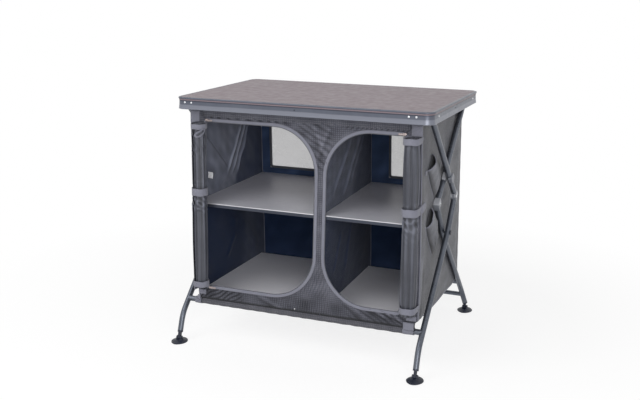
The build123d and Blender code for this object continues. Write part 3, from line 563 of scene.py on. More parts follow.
def rim_look():
    """The tabletop's metal edge: painted shade under its lip, and a painted highlight on the flare along
    its foot.
    """
    light, dark = linear(98, 102, 114), linear(83, 87, 99)
    look = painted_look("rim_metal", light, dark, 0.45, 0.34, 1600.0, 0.00002, 0.3)
    place = look.place.outputs["Object"]
    height = look.add("SeparateXYZ", {"Vector": place}).outputs[2]
    waver = look.noise(look.scaled(place, 9.0, 9.0, 0.0), 1.0, 2.0)
    height = look.math("MULTIPLY_ADD", waver, 0.003, height)
    plain = look.shader.inputs["Base Color"].links[0].from_socket
    # Painted shade under the lip, and a painted highlight on the flare.
    under = look.math("MULTIPLY", look.spread(height, *RIM_PAINTED_SHADE), look.spread(height, *RIM_LIP))
    colour = look.mix(look.math("MULTIPLY", under, 0.85), plain, linear(52, 56, 68))
    flare = look.spread(height, *RIM_FLARE_HIGHLIGHT)
    look.colour(look.mix(look.math("MULTIPLY", flare, 0.8), colour, linear(127, 130, 141)))
    return look


LOOKS["rim_metal"] = rim_look().material


def board_look(name, light, dark, rough, grain):
    """A laminated board: a soft cloudy tone with fine flecks."""
    look = Look(name)
    look.shader.inputs["Specular IOR Level"].default_value = 0.4
    place = look.place.outputs["Object"]
    cloud = look.noise(place, 7.0, 5.0, 0.6)
    flecks = look.noise(place, grain, 2.0, 0.7)
    cloudy = look.spread(cloud, 0.3, 0.7, 0.3, 0.7)
    share = look.math("MULTIPLY_ADD", look.math("SUBTRACT", flecks, 0.5), 0.9, cloudy)
    look.colour(look.mix(look.clamped(share), dark, light))
    look.rough(look.spread(look.noise(place, 40.0, 3.0), 0.3, 0.7, rough * 0.85, rough * 1.2))
    look.relief(flecks, 0.00003)
    return look


# Each board's light and dark colours, roughness and grain.
BOARDS = {
    "laminate": ((129, 115, 121), (119, 105, 111), 0.45, 1500.0),
    "board": ((206, 206, 213), (184, 184, 193), 0.36, 1200.0),
    # The floor boards are a lighter copy of the board: painted light on the compartments' floors.
    "floor_board": ((242, 241, 245), (226, 225, 231), 0.36, 1200.0),
}

for look_name, (light, dark, *values) in BOARDS.items():
    LOOKS[look_name] = board_look(look_name, linear(*light), linear(*dark), *values).material


def mesh_look():
    """Window mesh: fine threads with see-through holes between them."""
    look = Look("window_mesh", Roughness=0.7)
    look.shader.inputs["Base Color"].default_value = linear(206, 203, 208)
    uv = look.place.outputs["UV"]
    split = look.add("SeparateXYZ", {"Vector": uv})
    across, up = wave_of(look, split.outputs[0], 0.0014), wave_of(look, split.outputs[1], 0.0014)
    threads = look.math("MAXIMUM", across, up)
    soft = look.noise(uv, 10.0, 3.0)
    look.colour(look.mix(look.spread(soft, 0.3, 0.7), linear(200, 197, 202), linear(212, 209, 214)))
    holes = look.spread(threads, -0.2, 0.5, 0.35, 0.7)
    look.links.new(holes, look.shader.inputs["Alpha"])
    look.relief(threads, 0.0001)
    return look


LOOKS["window_mesh"] = mesh_look().material


# Soft pieces

def hang(piece, body="front_frame"):
    """A cloth piece rides on its body, with a mesh of its own."""
    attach(piece, body)
    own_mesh(piece)
    return piece


def snapped_sheet(x, z, openings):
    """A grid in the XZ plane with its edges drawn to the openings, as flat arrays, and the cells kept.

    openings are functions of distance outward, negative inside."""
    gx, gz = np.meshgrid(x, z, indexing="ij")
    cell = max(x[1] - x[0], z[1] - z[0])
    kept = np.ones((len(x) - 1, len(z) - 1), bool)
    for distance in openings:
        middle = distance((gx[1:, 1:] + gx[:-1, :-1]) / 2, (gz[1:, 1:] + gz[:-1, :-1]) / 2)
        kept &= middle > 0
    for distance in openings:
        for _ in range(3):
            d = distance(gx, gz)
            slope_x = (distance(gx + 0.5, gz) - distance(gx - 0.5, gz))
            slope_z = (distance(gx, gz + 0.5) - distance(gx, gz - 0.5))
            size = np.maximum(np.hypot(slope_x, slope_z), 1e-6)
            near = (np.abs(d) < cell * 0.75)
            used = np.zeros_like(near)
            used[:-1, :-1] |= kept
            used[1:, :-1] |= kept
            used[:-1, 1:] |= kept
            used[1:, 1:] |= kept
            move = near & ((d < 0) | (np.abs(d) < cell * 0.4)) & used
            gx = np.where(move, gx - d * slope_x / size, gx)
            gz = np.where(move, gz - d * slope_z / size, gz)
    return gx, gz, kept


def panel_piece(name, gx, y, gz, kept, material, flip=False):
    """The kept cells of a grid as a sheet, and the x and the z of its vertices."""
    i, j = np.nonzero(kept)
    wide = kept.shape[1] + 1
    faces = np.stack([i * wide + j, (i + 1) * wide + j, (i + 1) * wide + j + 1, i * wide + j + 1], 1)
    if flip:
        faces = faces[:, ::-1]
    used = np.unique(faces)
    new = np.full(gx.size, -1)
    new[used] = np.arange(len(used))
    points = stacked(gx, y, gz).reshape(-1, 3)[used]
    piece = mesh_piece(name, points, new[faces], material, points[:, 0::2] * MM)
    return piece, points[:, 0], points[:, 2]


def turned(x, z, heading):
    """Distances aside from and along a heading in degrees."""
    angle = math.radians(heading)
    return -x * math.sin(angle) + z * math.cos(angle), x * math.cos(angle) + z * math.sin(angle)


def stripes(x, z, heading, length, seed):
    """Sharp-backed gathers whose ridges run along a heading, -1 to 1."""
    aside, ahead = turned(x, z, heading)
    turn = aside * 2 * math.pi / length + 0.8 * ripple(ahead, aside, 90, seed)
    return 1.6 * np.abs(np.sin(turn / 2)) - 1.0 + 0.3 * np.sin(turn)


def ridge(a, b, start, end, width):
    """1 along a straight fold between two points, dying out towards its ends."""
    da, db = end[0] - start[0], end[1] - start[1]
    size = math.hypot(da, db)
    share = ((a - start[0]) * da + (b - start[1]) * db) / size ** 2
    aside = ((a - start[0]) * db - (b - start[1]) * da) / size
    return np.exp(-((aside / width) ** 2)) * smooth(share, -0.12, 0.12) * smooth(1 - share, -0.12, 0.12)


def folded(a, b, folds):
    """How far a cloth's straight folds raise it. A fold is its start, its end, its width and its height."""
    return sum(height * ridge(a, b, start, end, width) for start, end, width, height in folds)


FRONT_FOLDS = (
    ((239.0, 202.0), (302.0, 172.0), 4.0, 2.6),
    ((259.0, 207.0), (322.0, 178.0), 3.2, 2.0),
    ((287.0, 200.0), (352.0, 168.0), 3.6, 2.2),
    ((318.0, 196.0), (366.0, 160.0), 3.4, 1.6),
    ((160.0, 208.0), (236.0, 158.0), 6.0, 1.6),
    ((40.0, 770.0), (96.0, 640.0), 9.0, 1.8),
    ((96.0, 770.0), (44.0, 640.0), 8.0, 1.6),
    ((-150.0, 188.0), (-60.0, 150.0), 7.0, 1.4),
)


def grooves(x, z, heading, length, seed, width=0.17):
    """Narrow valleys along a heading, about a length apart, 0 to 1."""
    aside, ahead = turned(x, z, heading)
    turn = aside / length + 0.3 * ripple(ahead, aside, 110, seed)
    return np.exp(-(((np.mod(turn, 1.0) - 0.5) / width) ** 2))


def gathers(x, z):
    """Where the front cloth is drawn into narrow valleys, 0 to 1."""
    top = smooth(z, 764.0, 778.0)
    low = smooth(206.0 - z, 0.0, 22.0) * smooth(z, 148.0, 156.0)
    left = smooth(-x, 20.0, 70.0) * smooth(385.0 + x, 0.0, 60.0)
    deep = top * left * grooves(x, z, -40.0, 22.0, 1, 0.22)
    deep = deep + 0.8 * top * smooth(x, 110.0, 160.0) * grooves(x, z, 48.0, 12.0, 2, 0.2)
    deep = deep + low * smooth(-x, 190.0, 240.0) * grooves(x, z, 36.0, 13.0, 4, 0.2)
    deep = deep + 0.7 * low * bump(x, 20.0, 130.0) * grooves(x, z, 84.0, 8.5, 6, 0.22)
    deep = deep + 0.6 * low * smooth(x, 150.0, 220.0) * grooves(x, z, -32.0, 14.0, 5, 0.2)
    column = smooth(x, -40.0, 10.0) * smooth(120.0 - x, 0.0, 30.0)
    deep = deep + 0.75 * column * smooth(z, 590.0, 650.0) * grooves(x, z, -28.0, 19.0, 8, 0.2)
    foot = column * smooth(400.0 - z, 0.0, 120.0) * smooth(z, 190.0, 230.0)
    deep = deep + 0.45 * foot * grooves(x, z, 70.0, 11.0, 9)
    return np.clip(deep, 0, 1)


def front_painted_shading(x, z):
    """The painted highlight and shade on the front cloth, -1 to 1, with some random tone: light along its
    folds, shade in its gathers, under its folds, above the hem and towards its foot.
    """
    tone = 0.18 * ripple(x, z, 70, 14) - 0.8 * gathers(x, z)
    for start, end, width, height in FRONT_FOLDS:
        below = [(px, pz - 1.6 * width) for px, pz in (start, end)]
        tone = tone + 0.28 * height * (ridge(x, z, start, end, width) - ridge(x, z, *below, width))
    return tone - 0.75 * smooth(HEM_Z + 21 - z, 0.0, 8.0) - 0.34 * smooth(240.0 - z, 0.0, 60.0)


def front_relief(x, z):
    """How far the front cloth stands out: gathers at its corners, puckers along the doors, soft waves."""
    out = 0.5 * ripple(x, z, 160, 3)
    top = smooth(z, 758.0, 776.0)
    low = smooth(208.0 - z, 0.0, 26.0)
    left_top = smooth(-x, 30.0, 110.0) * smooth(385.0 + x, 0.0, 60.0)
    right_top = smooth(x, 110.0, 190.0)
    out = out + 0.6 * top * left_top * stripes(x, z, -42.0, 21.0, 1)
    out = out + 0.5 * top * right_top * stripes(x, z, 46.0, 12.0, 2)
    out = out + 0.5 * low * stripes(x, z, 62.0, 17.0, 6)
    out = out + folded(x, z, FRONT_FOLDS) - 1.5 * gathers(x, z)
    centre = bump(x, 68.0, 120.0) * bump(z, 780.0, 60.0)
    out = out + 0.8 * centre * np.sin((x - 68.0) / 5.5 + ripple(x, z, 90, 7))
    pucker = ripple(x, z, 26, 11)
    for door in DOORS:
        beyond = np.maximum(door_distance(x, z, door) - 8, 0)
        out = out + 0.8 * np.exp(-beyond / 22) * pucker
    return out


# How far out the front cloth's edge is on each side, as (height, distance from the middle).
EDGE_LEFT = (
    (120.0, 378.0), (178.0, 378.0), (186.0, 388.0), (208.0, 392.0),
    (421.0, 396.0), (543.0, 398.0), (731.0, 405.0), (801.0, 407.0),
)
EDGE_RIGHT = (
    (120.0, 401.0), (168.0, 402.0), (176.0, 411.0), (280.0, 412.0),
    (537.0, 406.0), (724.0, 400.0), (801.0, 398.0),
)


def cloth_edge(z, side):
    """How far out the front cloth's edge is at a height, on one side. Its lower corners are cut away."""
    table = np.array(EDGE_LEFT if side < 0 else EDGE_RIGHT)
    return np.interp(z, table[:, 0], table[:, 1])


# Where the front cloth's cut corners end, and how far out its sides clear the boards.
CORNER_TOP, BOARDS_CLEAR = 182.0, 394.5


def side_front(z, side):
    """How far out a side cloth's front edge is: along the front's edge, but clear of the boards."""
    return np.maximum(cloth_edge(np.maximum(z, CORNER_TOP), side), BOARDS_CLEAR)


# From here outward the front cloth is drawn to its edge, and from here it bends back.
EDGE_DRAWN, EDGE_BENT = 340.0, 404.0


def front_cloth():
    """The front panel with its two door openings."""
    x = np.linspace(-CLOTH_EDGE, CLOTH_EDGE, 264)
    z = np.linspace(HEM_Z + 11, CLOTH_HIGH, 216)
    doors = [lambda a, b, door=door: door_distance(a, b, door) for door in DOORS]
    gx, gz, kept = snapped_sheet(x, z, doors)
    edge = np.maximum(np.abs(gx) - EDGE_BENT, 0)
    calm = np.clip((CLOTH_HIGH - gz) / 12, 0.2, 1) * smooth(gz, HEM_Z + 13, HEM_Z + 26)
    tucked = 6.0 * smooth(HEM_Z + 22 - gz, 0.0, 12.0)
    out = 0.8 + front_relief(gx, gz) * calm - edge ** 2 * 0.035 - tucked
    for side in (-1, 1):
        beyond = np.maximum(gx * side - EDGE_DRAWN, 0)
        gx = gx + side * beyond / (CLOTH_EDGE - EDGE_DRAWN) * (cloth_edge(gz, side) - CLOTH_EDGE)
    piece, x, z = panel_piece("front_cloth", gx, front_y(gz, out), gz, kept, LOOKS["front_weave"])
    tint(piece, fold=front_painted_shading(x, z))
    thicken(piece, 1.2)
    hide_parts("front_panel")
    hang(piece)


front_cloth()


PIPING_PROFILE = np.array([
    (-5.0, -1.6), (-5.2, 0.2), (-4.0, 1.3), (-2.2, 1.55), (-1.6, 1.25), (-1.0, 1.6),
    (1.2, 2.0), (3.2, 1.9), (4.6, 1.0), (5.0, -0.4), (4.6, -1.6),
])


def door_trim(door):
    """The piping sewn round a door, and the zip's teeth inside it."""
    line = on_front(door_path(door, 4.6), 1.4)
    look = LOOKS["light_trim"]
    trim = sweep(f"door_piping_{door}", line, FRONT_NORMAL, PIPING_PROFILE, look, closed=True)
    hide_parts(f"door_binding_{door}")
    hang(trim)
    line = on_front(door_path(door, -1.4), 1.2)
    look = LOOKS["grey_cloth"]
    teeth = sweep(f"zip_coil_{door}", line, FRONT_NORMAL, oval(3.0, 2.0, 8), look, closed=True)
    hang(teeth)


for side in DOORS:
    door_trim(side)


# Rolled-up doors and their straps

def roll_centre(side, z):
    """The roll's middle at a height: it leans a little along the door's edge."""
    low, high = ROLL_X[side]
    return low + (high - low) * (z - ROLL_LOW) / (ROLL_TOP - ROLL_LOW)


ROLL_SWELL = {"left": (3.0, 0.6), "right": (3.6, 3.4)}
ROLL_BARE = 24.4
# The heights between which a roll swells.
KNOTS = (213.0, 533.0, 752.0)
# Where each roll is crumpled, as (height, reach, share).
CRUMPLES = {
    "left": (
        (500.0, 18.0, 1.0), (478.0, 12.0, 0.8), (566.0, 16.0, 0.3), (676.0, 26.0, 0.45), (724.0, 12.0, 0.6),
    ),
    "right": (
        (506.0, 14.0, 1.0), (484.0, 18.0, 0.9), (450.0, 12.0, 0.3), (556.0, 10.0, 0.4), (738.0, 8.0, 0.2),
    ),
}


def roll_radius(z, side):
    """The roll's outer radius: drawn in at the straps and swollen between them."""
    radius = ROLL_BARE
    for swell, low, high in zip(ROLL_SWELL[side], KNOTS, KNOTS[1:]):
        radius = radius + swell * np.sin(np.clip((z - low) / (high - low), 0, 1) * math.pi) ** 0.8
    for strap in STRAP_HEIGHTS[side]:
        radius = radius - 1.6 * bump(z, strap, 16.0)
    return radius


def roll_bend(turn, z, side):
    """How far a roll's cloth stands out, and its painted highlight and shade: long folds, and crumples near
    the straps.
    """
    seed = 20 if side == "left" else 40
    drift = 0.5 * ripple(z, turn * 14, 420, seed)
    flutes = np.abs(np.sin(3.5 * turn + drift + (0.4 if side == "left" else 1.3)))
    folds = 4.2 * (flutes - 0.62) + 0.9 * np.sin(11 * turn + 2 * drift)
    crumple = sum(share * bump(z, at, reach) for at, reach, share in CRUMPLES[side])
    sharp = crease(z + 9 * turn, 24 * np.cos(turn), 36.0, seed + 1) - 0.55
    slack = 0.4 * ripple(z * 0.5, turn * 25, 60, seed + 2)
    calm = 1 - 0.6 * np.clip(crumple, 0, 1)
    streaks = ripple(z * 0.02, turn * 26, 9, seed + 3)
    # The tone paints highlights on the flutes and crumples and shade between them, with random streaks.
    tone = 0.7 * (flutes - 0.7) + 0.3 * streaks + 1.5 * np.clip(crumple, 0, 1) * sharp - 0.1
    return folds * calm + 6.0 * crumple * sharp + slack, tone


ROLL_TURNS, ROLL_CORE, ROLL_LENGTH = 4.2, 3.5, 392.0
# How much less deep than wide a roll is.
ROLL_FLAT = 0.94


def door_roll(side):
    """A door panel wound up: one sheet in a spiral, with its free edge on the outside."""
    first = (0.9 if side == "left" else 2.4) * math.pi
    turn = np.linspace(0, ROLL_TURNS * 2 * math.pi, 300)[None, :]
    z = np.linspace(ROLL_LOW, ROLL_TOP, 170)[:, None]
    outer = roll_radius(z, side)
    share = turn / turn.max()
    radius = ROLL_CORE + (outer - ROLL_CORE) * share
    angle = turn + first
    bend, tone = roll_bend(np.mod(angle, 2 * math.pi), z, side)
    radius = radius + bend * share ** 0.5 * (radius / outer)
    x = roll_centre(side, z) + radius * np.cos(angle)
    y = front_y(z, ROLL_OUT) + radius * np.sin(angle) * ROLL_FLAT
    uvs = stacked(ROLL_LENGTH * share, z) * MM
    points = stacked(x, y, z + 1.2 * np.sin(angle))
    piece = grid_piece(f"rolled_door_{side}", points, LOOKS["roll_cloth"], uvs)
    tint(piece, fold=tone)
    thicken(piece, 0.9, 0.0)
    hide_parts(f"door_roll_{side}")
    hang(piece)


for side in DOORS:
    door_roll(side)


# How far a strap is from the roll, how far its sewn foot is from the cloth, and how far round it goes.
STRAP_GAP, STRAP_FOOT, STRAP_TURN = 2.9, 2.6, 1.42


def roll_strap(name, side, z, width, tail):
    """A strap round a roll, sewn down on its outward side and carried round the roll to its back."""
    x, middle_y = float(roll_centre(side, z)), front_y(z, ROLL_OUT)
    outward = -1 if side == "left" else 1
    radius = float(roll_radius(np.array(z), side)) + STRAP_GAP
    face = front_y(z, STRAP_FOOT)
    away = 0.0 if outward > 0 else math.pi
    path, normals = [], []
    foot = (x + outward * (radius + tail), face, z)
    bend = (x + outward * (radius + 1.5), face - 2.0, z)
    up = (x + outward * radius, (face + middle_y) / 2, z)
    for point, normal in ((foot, (0, -1, 0)), (bend, (outward * 0.7, -0.7, 0)), (up, (outward, 0, 0))):
        path.append(point)
        normals.append(normal)
    for turn in np.linspace(0, STRAP_TURN * math.pi, 40):
        angle = away - outward * turn
        dip = 1.0 if math.sin(angle) < 0 else ROLL_FLAT
        path.append((x + radius * math.cos(angle), middle_y + radius * math.sin(angle) * dip, z))
        normals.append((math.cos(angle), math.sin(angle), 0))
    path = np.array(path, float)
    path[:, 2] += 0.8 * np.sin(np.arange(len(path)) * 0.5)
    return sweep(name, path, normals, strip_profile(width, 1.2), LOOKS["light_trim"])


def ribbon(name, points, normals, width):
    """A short tape through a few points."""
    points, normals = np.array(points, float), np.array(normals, float)
    knots, fine = np.linspace(0, 1, len(points)), np.linspace(0, 1, 28)
    path = np.stack([np.interp(fine, knots, points[:, k]) for k in range(3)], 1)
    for _ in range(3):
        path[1:-1] = (path[:-2] + 2 * path[1:-1] + path[2:]) / 4
    faced = np.stack([np.interp(fine, knots, normals[:, k]) for k in range(3)], 1)
    return sweep(name, path, faced, strip_profile(width, 1.0), LOOKS["light_trim"])


# The hanging loop's points, as (aside from the roll's middle, height, gap from the roll).
LOOP_POINTS = (
    (25.5, 747.0, 1.0), (26.5, 738.0, 2.5), (24.0, 729.0, 4.5), (17.0, 722.0, 6.5), (8.0, 720.0, 6.5),
    (1.0, 725.0, 4.5), (4.0, 731.0, 2.5), (12.0, 736.0, 1.6), (20.0, 741.0, 1.4), (24.0, 747.0, 1.6),
)
# The roll's radius under the loop.
LOOP_REACH = 27.5


def roll_straps(side):
    """A roll's three straps, with a hanging loop on the left and a loose tail on the right."""
    low, middle, top = STRAP_HEIGHTS[side]
    tails = (8.0, 9.0, 6.0) if side == "left" else (-3.0, -3.0, -9.0)
    pieces = [
        roll_strap(f"strap_low_{side}", side, low, 20.0, tails[0]),
        roll_strap(f"strap_middle_{side}", side, middle, 25.0, tails[1]),
        roll_strap(f"strap_top_{side}", side, top, 17.0 if side == "left" else 20.0, tails[2]),
    ]
    if side == "left":
        x, y = float(roll_centre(side, 732.0)), front_y(732.0, ROLL_OUT)
        loop, faces = [], []
        for aside, z, gap in LOOP_POINTS:
            depth = math.sqrt(LOOP_REACH ** 2 - aside ** 2)
            loop.append((x + aside, y - depth - gap, z))
            faces.append((aside, -depth, -14.0))
        pieces.append(ribbon("strap_loop", loop, faces, 6.5))
    else:
        edge = float(cloth_edge(np.array(middle), 1))
        flap = [(x, front_y(z, out), z) for x, z, out in (
            (edge - 12, middle, 5.0), (edge - 3, middle + 2, 5.5), (edge + 3.5, middle + 6, 0.5))]
        flap.append((edge + 5.0, front_y(middle, -14.0), middle + 10))
        flap.append((edge + 5.6, front_y(middle, -26.0), middle + 14))
        faces = [(0, -1, 0), (0.3, -1, 0), (0.9, -0.6, 0), (1, -0.1, 0), (1, 0, 0)]
        pieces.append(ribbon("strap_tail", flap, faces, 24.0))
    piece = joined(f"door_straps_{side}", pieces)
    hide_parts(f"roll_straps_{side}")
    hang(piece)


for side in DOORS:
    roll_straps(side)


# Hems and patches

def hem_tube(name, sign, x0, x1, radius, look_name, seed):
    """Cloth wound round a crossbar, with slanting pulls."""
    x = np.linspace(x0, x1, max(8, int(abs(x1 - x0) / 5)))[:, None]
    turn = np.linspace(0, 2 * math.pi, 28, endpoint=False)[None, :]
    wrinkle = 0.45 * np.sin(x / 7 + 2.2 * turn + ripple(x, turn * 12, 90, seed))
    r = radius + wrinkle + 0.25 * ripple(x, turn * 12, 50, seed + 1)
    points = stacked(x, -sign * (HEM_Y + r * np.cos(turn)), HEM_Z + r * np.sin(turn))
    uvs = stacked(x, r * turn) * MM
    return grid_piece(name, points, LOOKS[look_name], uvs, close_cols=True, flip=sign > 0)


def front_patch(name, x0, x1, z0, z1, lift, seed):
    """A light rectangle sewn on the front cloth, drawn to its edge where it passes it."""
    x = np.linspace(x0, x1, max(4, int(abs(x1 - x0) / 2.5)))[:, None]
    z = np.linspace(z0, z1, max(4, int(abs(z1 - z0) / 2.5)))[None, :]
    rim = np.minimum(
        np.minimum(np.abs(x - x0), np.abs(x - x1)), np.minimum(np.abs(z - z0), np.abs(z - z1)),
    )
    calm = smooth(z, HEM_Z + 13, HEM_Z + 26)
    out = lift + front_relief(x, z) * calm * 0.8 + 0.5 * np.minimum(rim, 2.0) / 2.0
    out = out + 0.2 * ripple(x, z, 12, seed)
    points = stacked(x, front_y(z, out), z)
    return thicken(grid_piece(name, points, LOOKS["light_trim"], stacked(x, z) * MM), 1.0)


# The light wraps at the front hem's ends, and the patches that run up from them.
WRAPS = ((-394.0, -370.0), (361.0, 398.0))
WRAP_PATCHES = ((-380.0, -370.0, 143.0, 160.0, 2.2, 84), (364.0, 399.0, 143.0, 168.0, 2.2, 85))


def hems():
    """The two sleeves round the low crossbars, and the light wraps at the front one's ends."""
    front = hem_tube("front_hem", 1, -367.0, 366.0, HEM_R, "hem_weave", 60)
    thicken(front, 1.2)
    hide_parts("front_hem_sleeve")
    hang(front)
    back = hem_tube("rear_hem", -1, -366.0, 366.0, 11.6, "grey_cloth", 63)
    thicken(back, 1.0)
    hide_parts("rear_hem_sleeve")
    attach(back, "rear_frame")
    ends = [thicken(hem_tube("end", 1, x0, x1, HEM_R + 1.0, "light_trim", 66), 1.2) for x0, x1 in WRAPS]
    ends += [front_patch("patch", *values) for values in WRAP_PATCHES]
    patch = joined("hem_end_wraps", ends)
    hang(patch)


# The top crossbars' middle, and the sleeves' radius round it.
TOP_BAR_Y, TOP_BAR_Z, SLEEVE_R = 248.0, 820.0, 11.0


def top_sleeve(name, sign, node, body, slot_name):
    """The cloth loop over a top crossbar, with its flap hanging inside the panel's top edge."""
    y, z, r = TOP_BAR_Y, TOP_BAR_Z, SLEEVE_R
    turn = np.linspace(0, 1.5 * math.pi, 20)
    ring = [(y + r * math.cos(t), z + r * math.sin(t)) for t in turn]
    line = np.array([(y + r - 1.0, z - 39), (y + r - 0.8, z - 22), (y + r - 0.4, z - 8)] + ring)
    girth = along(line)
    x = np.linspace(-360.0, 360.0, 121)[:, None]
    wave = 0.35 * ripple(x, girth[None, :], 60, 70)
    points = stacked(x, sign * (line[None, :, 0] + wave), line[None, :, 1])
    uvs = stacked(x, girth[None, :]) * MM
    piece = grid_piece(name, points, LOOKS[slot_name], uvs, flip=sign < 0)
    thicken(piece, 0.8, 0.0)
    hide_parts(node)
    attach(piece, body)


top_sleeve("front_top_loop", -1, "front_top_sleeve", "front_upper", "front_weave")
top_sleeve("rear_top_loop", 1, "rear_top_sleeve", "rear_upper", "grey_cloth")


# Each patch's left and right, its bottom and top, how far it stands out, and its seed.
PATCHES = (
    (-407.0, -373.0, 758.0, 799.0, 2.3, 80),
    (366.0, 399.0, 764.0, 800.0, 2.3, 81),
    (-376.0, -348.0, 164.0, 181.0, 2.3, 82),
    (374.0, 407.0, 175.0, 191.0, 2.3, 83),
)


def patches():
    """The rectangles sewn on the front cloth's four corners."""
    piece = joined("sewn_patches", [front_patch("patch", *values) for values in PATCHES])
    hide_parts("corner_patches")
    hang(piece)


STUD_X, STUD_Z = -14.0, 158.0
STUD_DOME = [(0.0, 2.0), (0.7, 1.9), (1.2, 1.4), (1.5, 0.2)]


def hem_dot():
    """The small white stud near the middle of the hem."""
    place = (STUD_X, front_y(STUD_Z, 1.6), STUD_Z)
    piece = lathe("hem_stud", place, (0.0, -1.0, 0.0), STUD_DOME, LOOKS["tag_cloth"], 12)
    hang(piece)


patches()
hems()
hem_dot()


# Sides, back and divider

# Each fold's start, end, width and height. The left side's fold of height -2 is a crease that also paints
# the outer tube's shadow through the cloth.
SIDE_FOLDS = {
    -1: (
        ((87.0, 700.0), (-22.0, 545.0), 7.0, 5.0),
        ((120.0, 700.0), (20.0, 540.0), 6.0, 4.0),
        ((145.0, 690.0), (58.0, 533.0), 7.0, 5.0),
        ((-170.0, 697.0), (-18.0, 559.0), 3.0, -2.0),
        ((33.0, 292.0), (-34.0, 226.0), 10.0, 3.0),
    ),
    1: (
        ((-268.0, 700.0), (-255.0, 250.0), 7.0, 2.4),
        ((-240.0, 430.0), (-272.0, 190.0), 8.0, 2.8),
        ((-226.0, 330.0), (-180.0, 160.0), 9.0, -2.4),
        ((-190.0, 560.0), (-250.0, 330.0), 9.0, 2.4),
        ((150.0, 560.0), (60.0, 330.0), 10.0, 2.2),
        ((20.0, 700.0), (-60.0, 600.0), 9.0, 2.4),
    ),
}
INNER_LEG = ((346.0, 38.0), (318.0, 94.0), (0.0, 398.0), (-80.0, 511.0), (248.0, 820.0))
BOARD_LEVELS = (156.0, 482.0)


def from_tube(y, z):
    """Distance in the side's plane from the nearest inner tube's middle."""
    nearest = np.full(np.broadcast(y, z).shape, 1e9)
    for (ay, az), (by, bz) in zip(INNER_LEG, INNER_LEG[1:]):
        dy, dz = by - ay, bz - az
        share = np.clip(((y - ay) * dy + (z - az) * dz) / (dy * dy + dz * dz), 0, 1)
        nearest = np.minimum(nearest, np.hypot(y - ay - share * dy, z - az - share * dz))
    return nearest


def side_out(y, z, side):
    """How far out a side's cloth is: drawn to the front's edge, free to belly out away from the tubes."""
    front = -front_y(z)
    flare = (side_front(z, side) - 1.0 - SIDE_X) * smooth(-y, front - 130.0, front)
    room = smooth(from_tube(y, z), 14.0, 50.0) * smooth(front - np.abs(y), 4.0, 60.0)
    level = np.ones_like(room)
    for board in BOARD_LEVELS:
        level = level * (1 - 0.85 * bump(z, board, 18.0))
    seed = 90 if side < 0 else 95
    folds = ripple(0.75 * y + 0.66 * z, 0.25 * (0.66 * y - 0.75 * z), 120, seed)
    soft = ripple(y, z, 200, seed + 1)
    bulge = (2.6 + 3.2 * folds + 2.0 * soft) * room * level
    dip = -2.2 * np.maximum(ripple(y, z, 90, seed + 2), 0) * level * smooth(front - np.abs(y), 4.0, 30.0)
    out = SIDE_X - 0.4 + flare + np.maximum(bulge, -1.5) + dip * (1 - room)
    folds = folded(y, z, SIDE_FOLDS[side])
    return out + (folds * room if side > 0 else -folds)


def shadow_line(y, z):
    """Where the shadow behind the front's edge begins on an inner wall; at a height of 533 that is y."""
    return y + (z - 533.0) * 0.5


def below_shelf(z):
    """1 under the shelf, where the inner walls get painted shade."""
    return smooth(SHELF_TOP - 2.0 - z, 0.0, 6.0)


# Lines along which the pockets darken the right side beside them.
POCKET_SHADOWS = (
    ((-128.0, 694.0), (-42.0, 636.0), (22.0, 552.0), (-50.0, 484.0)),
    ((-124.0, 516.0), (-30.0, 460.0), (28.0, 388.0), (-74.0, 326.0)),
)


def side_painted_shading(y, z, side):
    """The painted highlight and shade of a side's folds, the painted shadows beside the pockets, and the
    painted shade on the inner face.
    """
    tone = 0.22 * ripple(y, z, 60, 97 + side)
    # Each fold paints a highlight along itself and shade behind it.
    for start, end, width, height in SIDE_FOLDS[side]:
        behind = [(py + 1.7 * width, pz) for py, pz in (start, end)]
        tone = tone + height / 4.0 * ridge(y, z, start, end, width)
        tone = tone - max(height, 0.0) / 6.0 * ridge(y, z, *behind, width)
    if side > 0:
        for outline in POCKET_SHADOWS:
            for start, end in zip(outline, outline[1:]):
                tone = tone - 0.8 * ridge(y, z, start, end, 5.5)
    # Painted shadow behind the shadow line above the shelf, and painted shade under the shelf.
    upper = 0.1 + 0.72 * smooth(y - shadow_line(54.0, z), -14.0, 22.0) * smooth(z, 470.0, 490.0)
    return tone, upper + 0.88 * below_shelf(z) * (1.0 - 0.3 * smooth(y, 60.0, 150.0))


def line_inside(piece, inward, look_name):
    """Give the faces of a cloth that look inward their own look, which alone is shaded by the gloom."""
    mesh = piece.data
    mesh.materials.append(LOOKS[look_name])
    normals = np.zeros(len(mesh.polygons) * 3)
    mesh.polygons.foreach_get("normal", normals)
    inside = normals.reshape(-1, 3) @ np.array(inward, float) > 0.3
    mesh.polygons.foreach_set("material_index", inside.astype(np.int32))


# The body's top edge, and half a side cloth's depth at its foot.
BODY_TOP, SIDE_HALF = 800.0, 286.0


def side_low(y):
    """A side cloth's bottom edge: raised where its front corner is cut away."""
    return 148.0 + 30.0 * smooth(-y, 120.0, SIDE_HALF)


def side_cloth(side):
    """One side of the body, lined inside."""
    name = "left" if side < 0 else "right"
    across = np.linspace(-1, 1, 190)[:, None]
    share = np.linspace(0, 1, 190)[None, :]
    low = side_low(across * SIDE_HALF)
    z = low + (BODY_TOP - low) * share
    y = across * (-front_y(z) - 0.4)
    x = side * side_out(y, z, side)
    points, uvs = stacked(x, y, z), stacked(y, z) * MM
    piece = grid_piece(f"side_cloth_{name}", points, LOOKS["side_cloth"], uvs, flip=side < 0)
    tone, gloom = side_painted_shading(y, z, side)
    tint(piece, fold=tone, gloom=gloom)
    thicken(piece, 1.2)
    line_inside(piece, (-side, 0, 0), "lining_side")
    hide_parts(f"side_panel_{name}")
    hang(piece)


for hand in (-1, 1):
    side_cloth(hand)


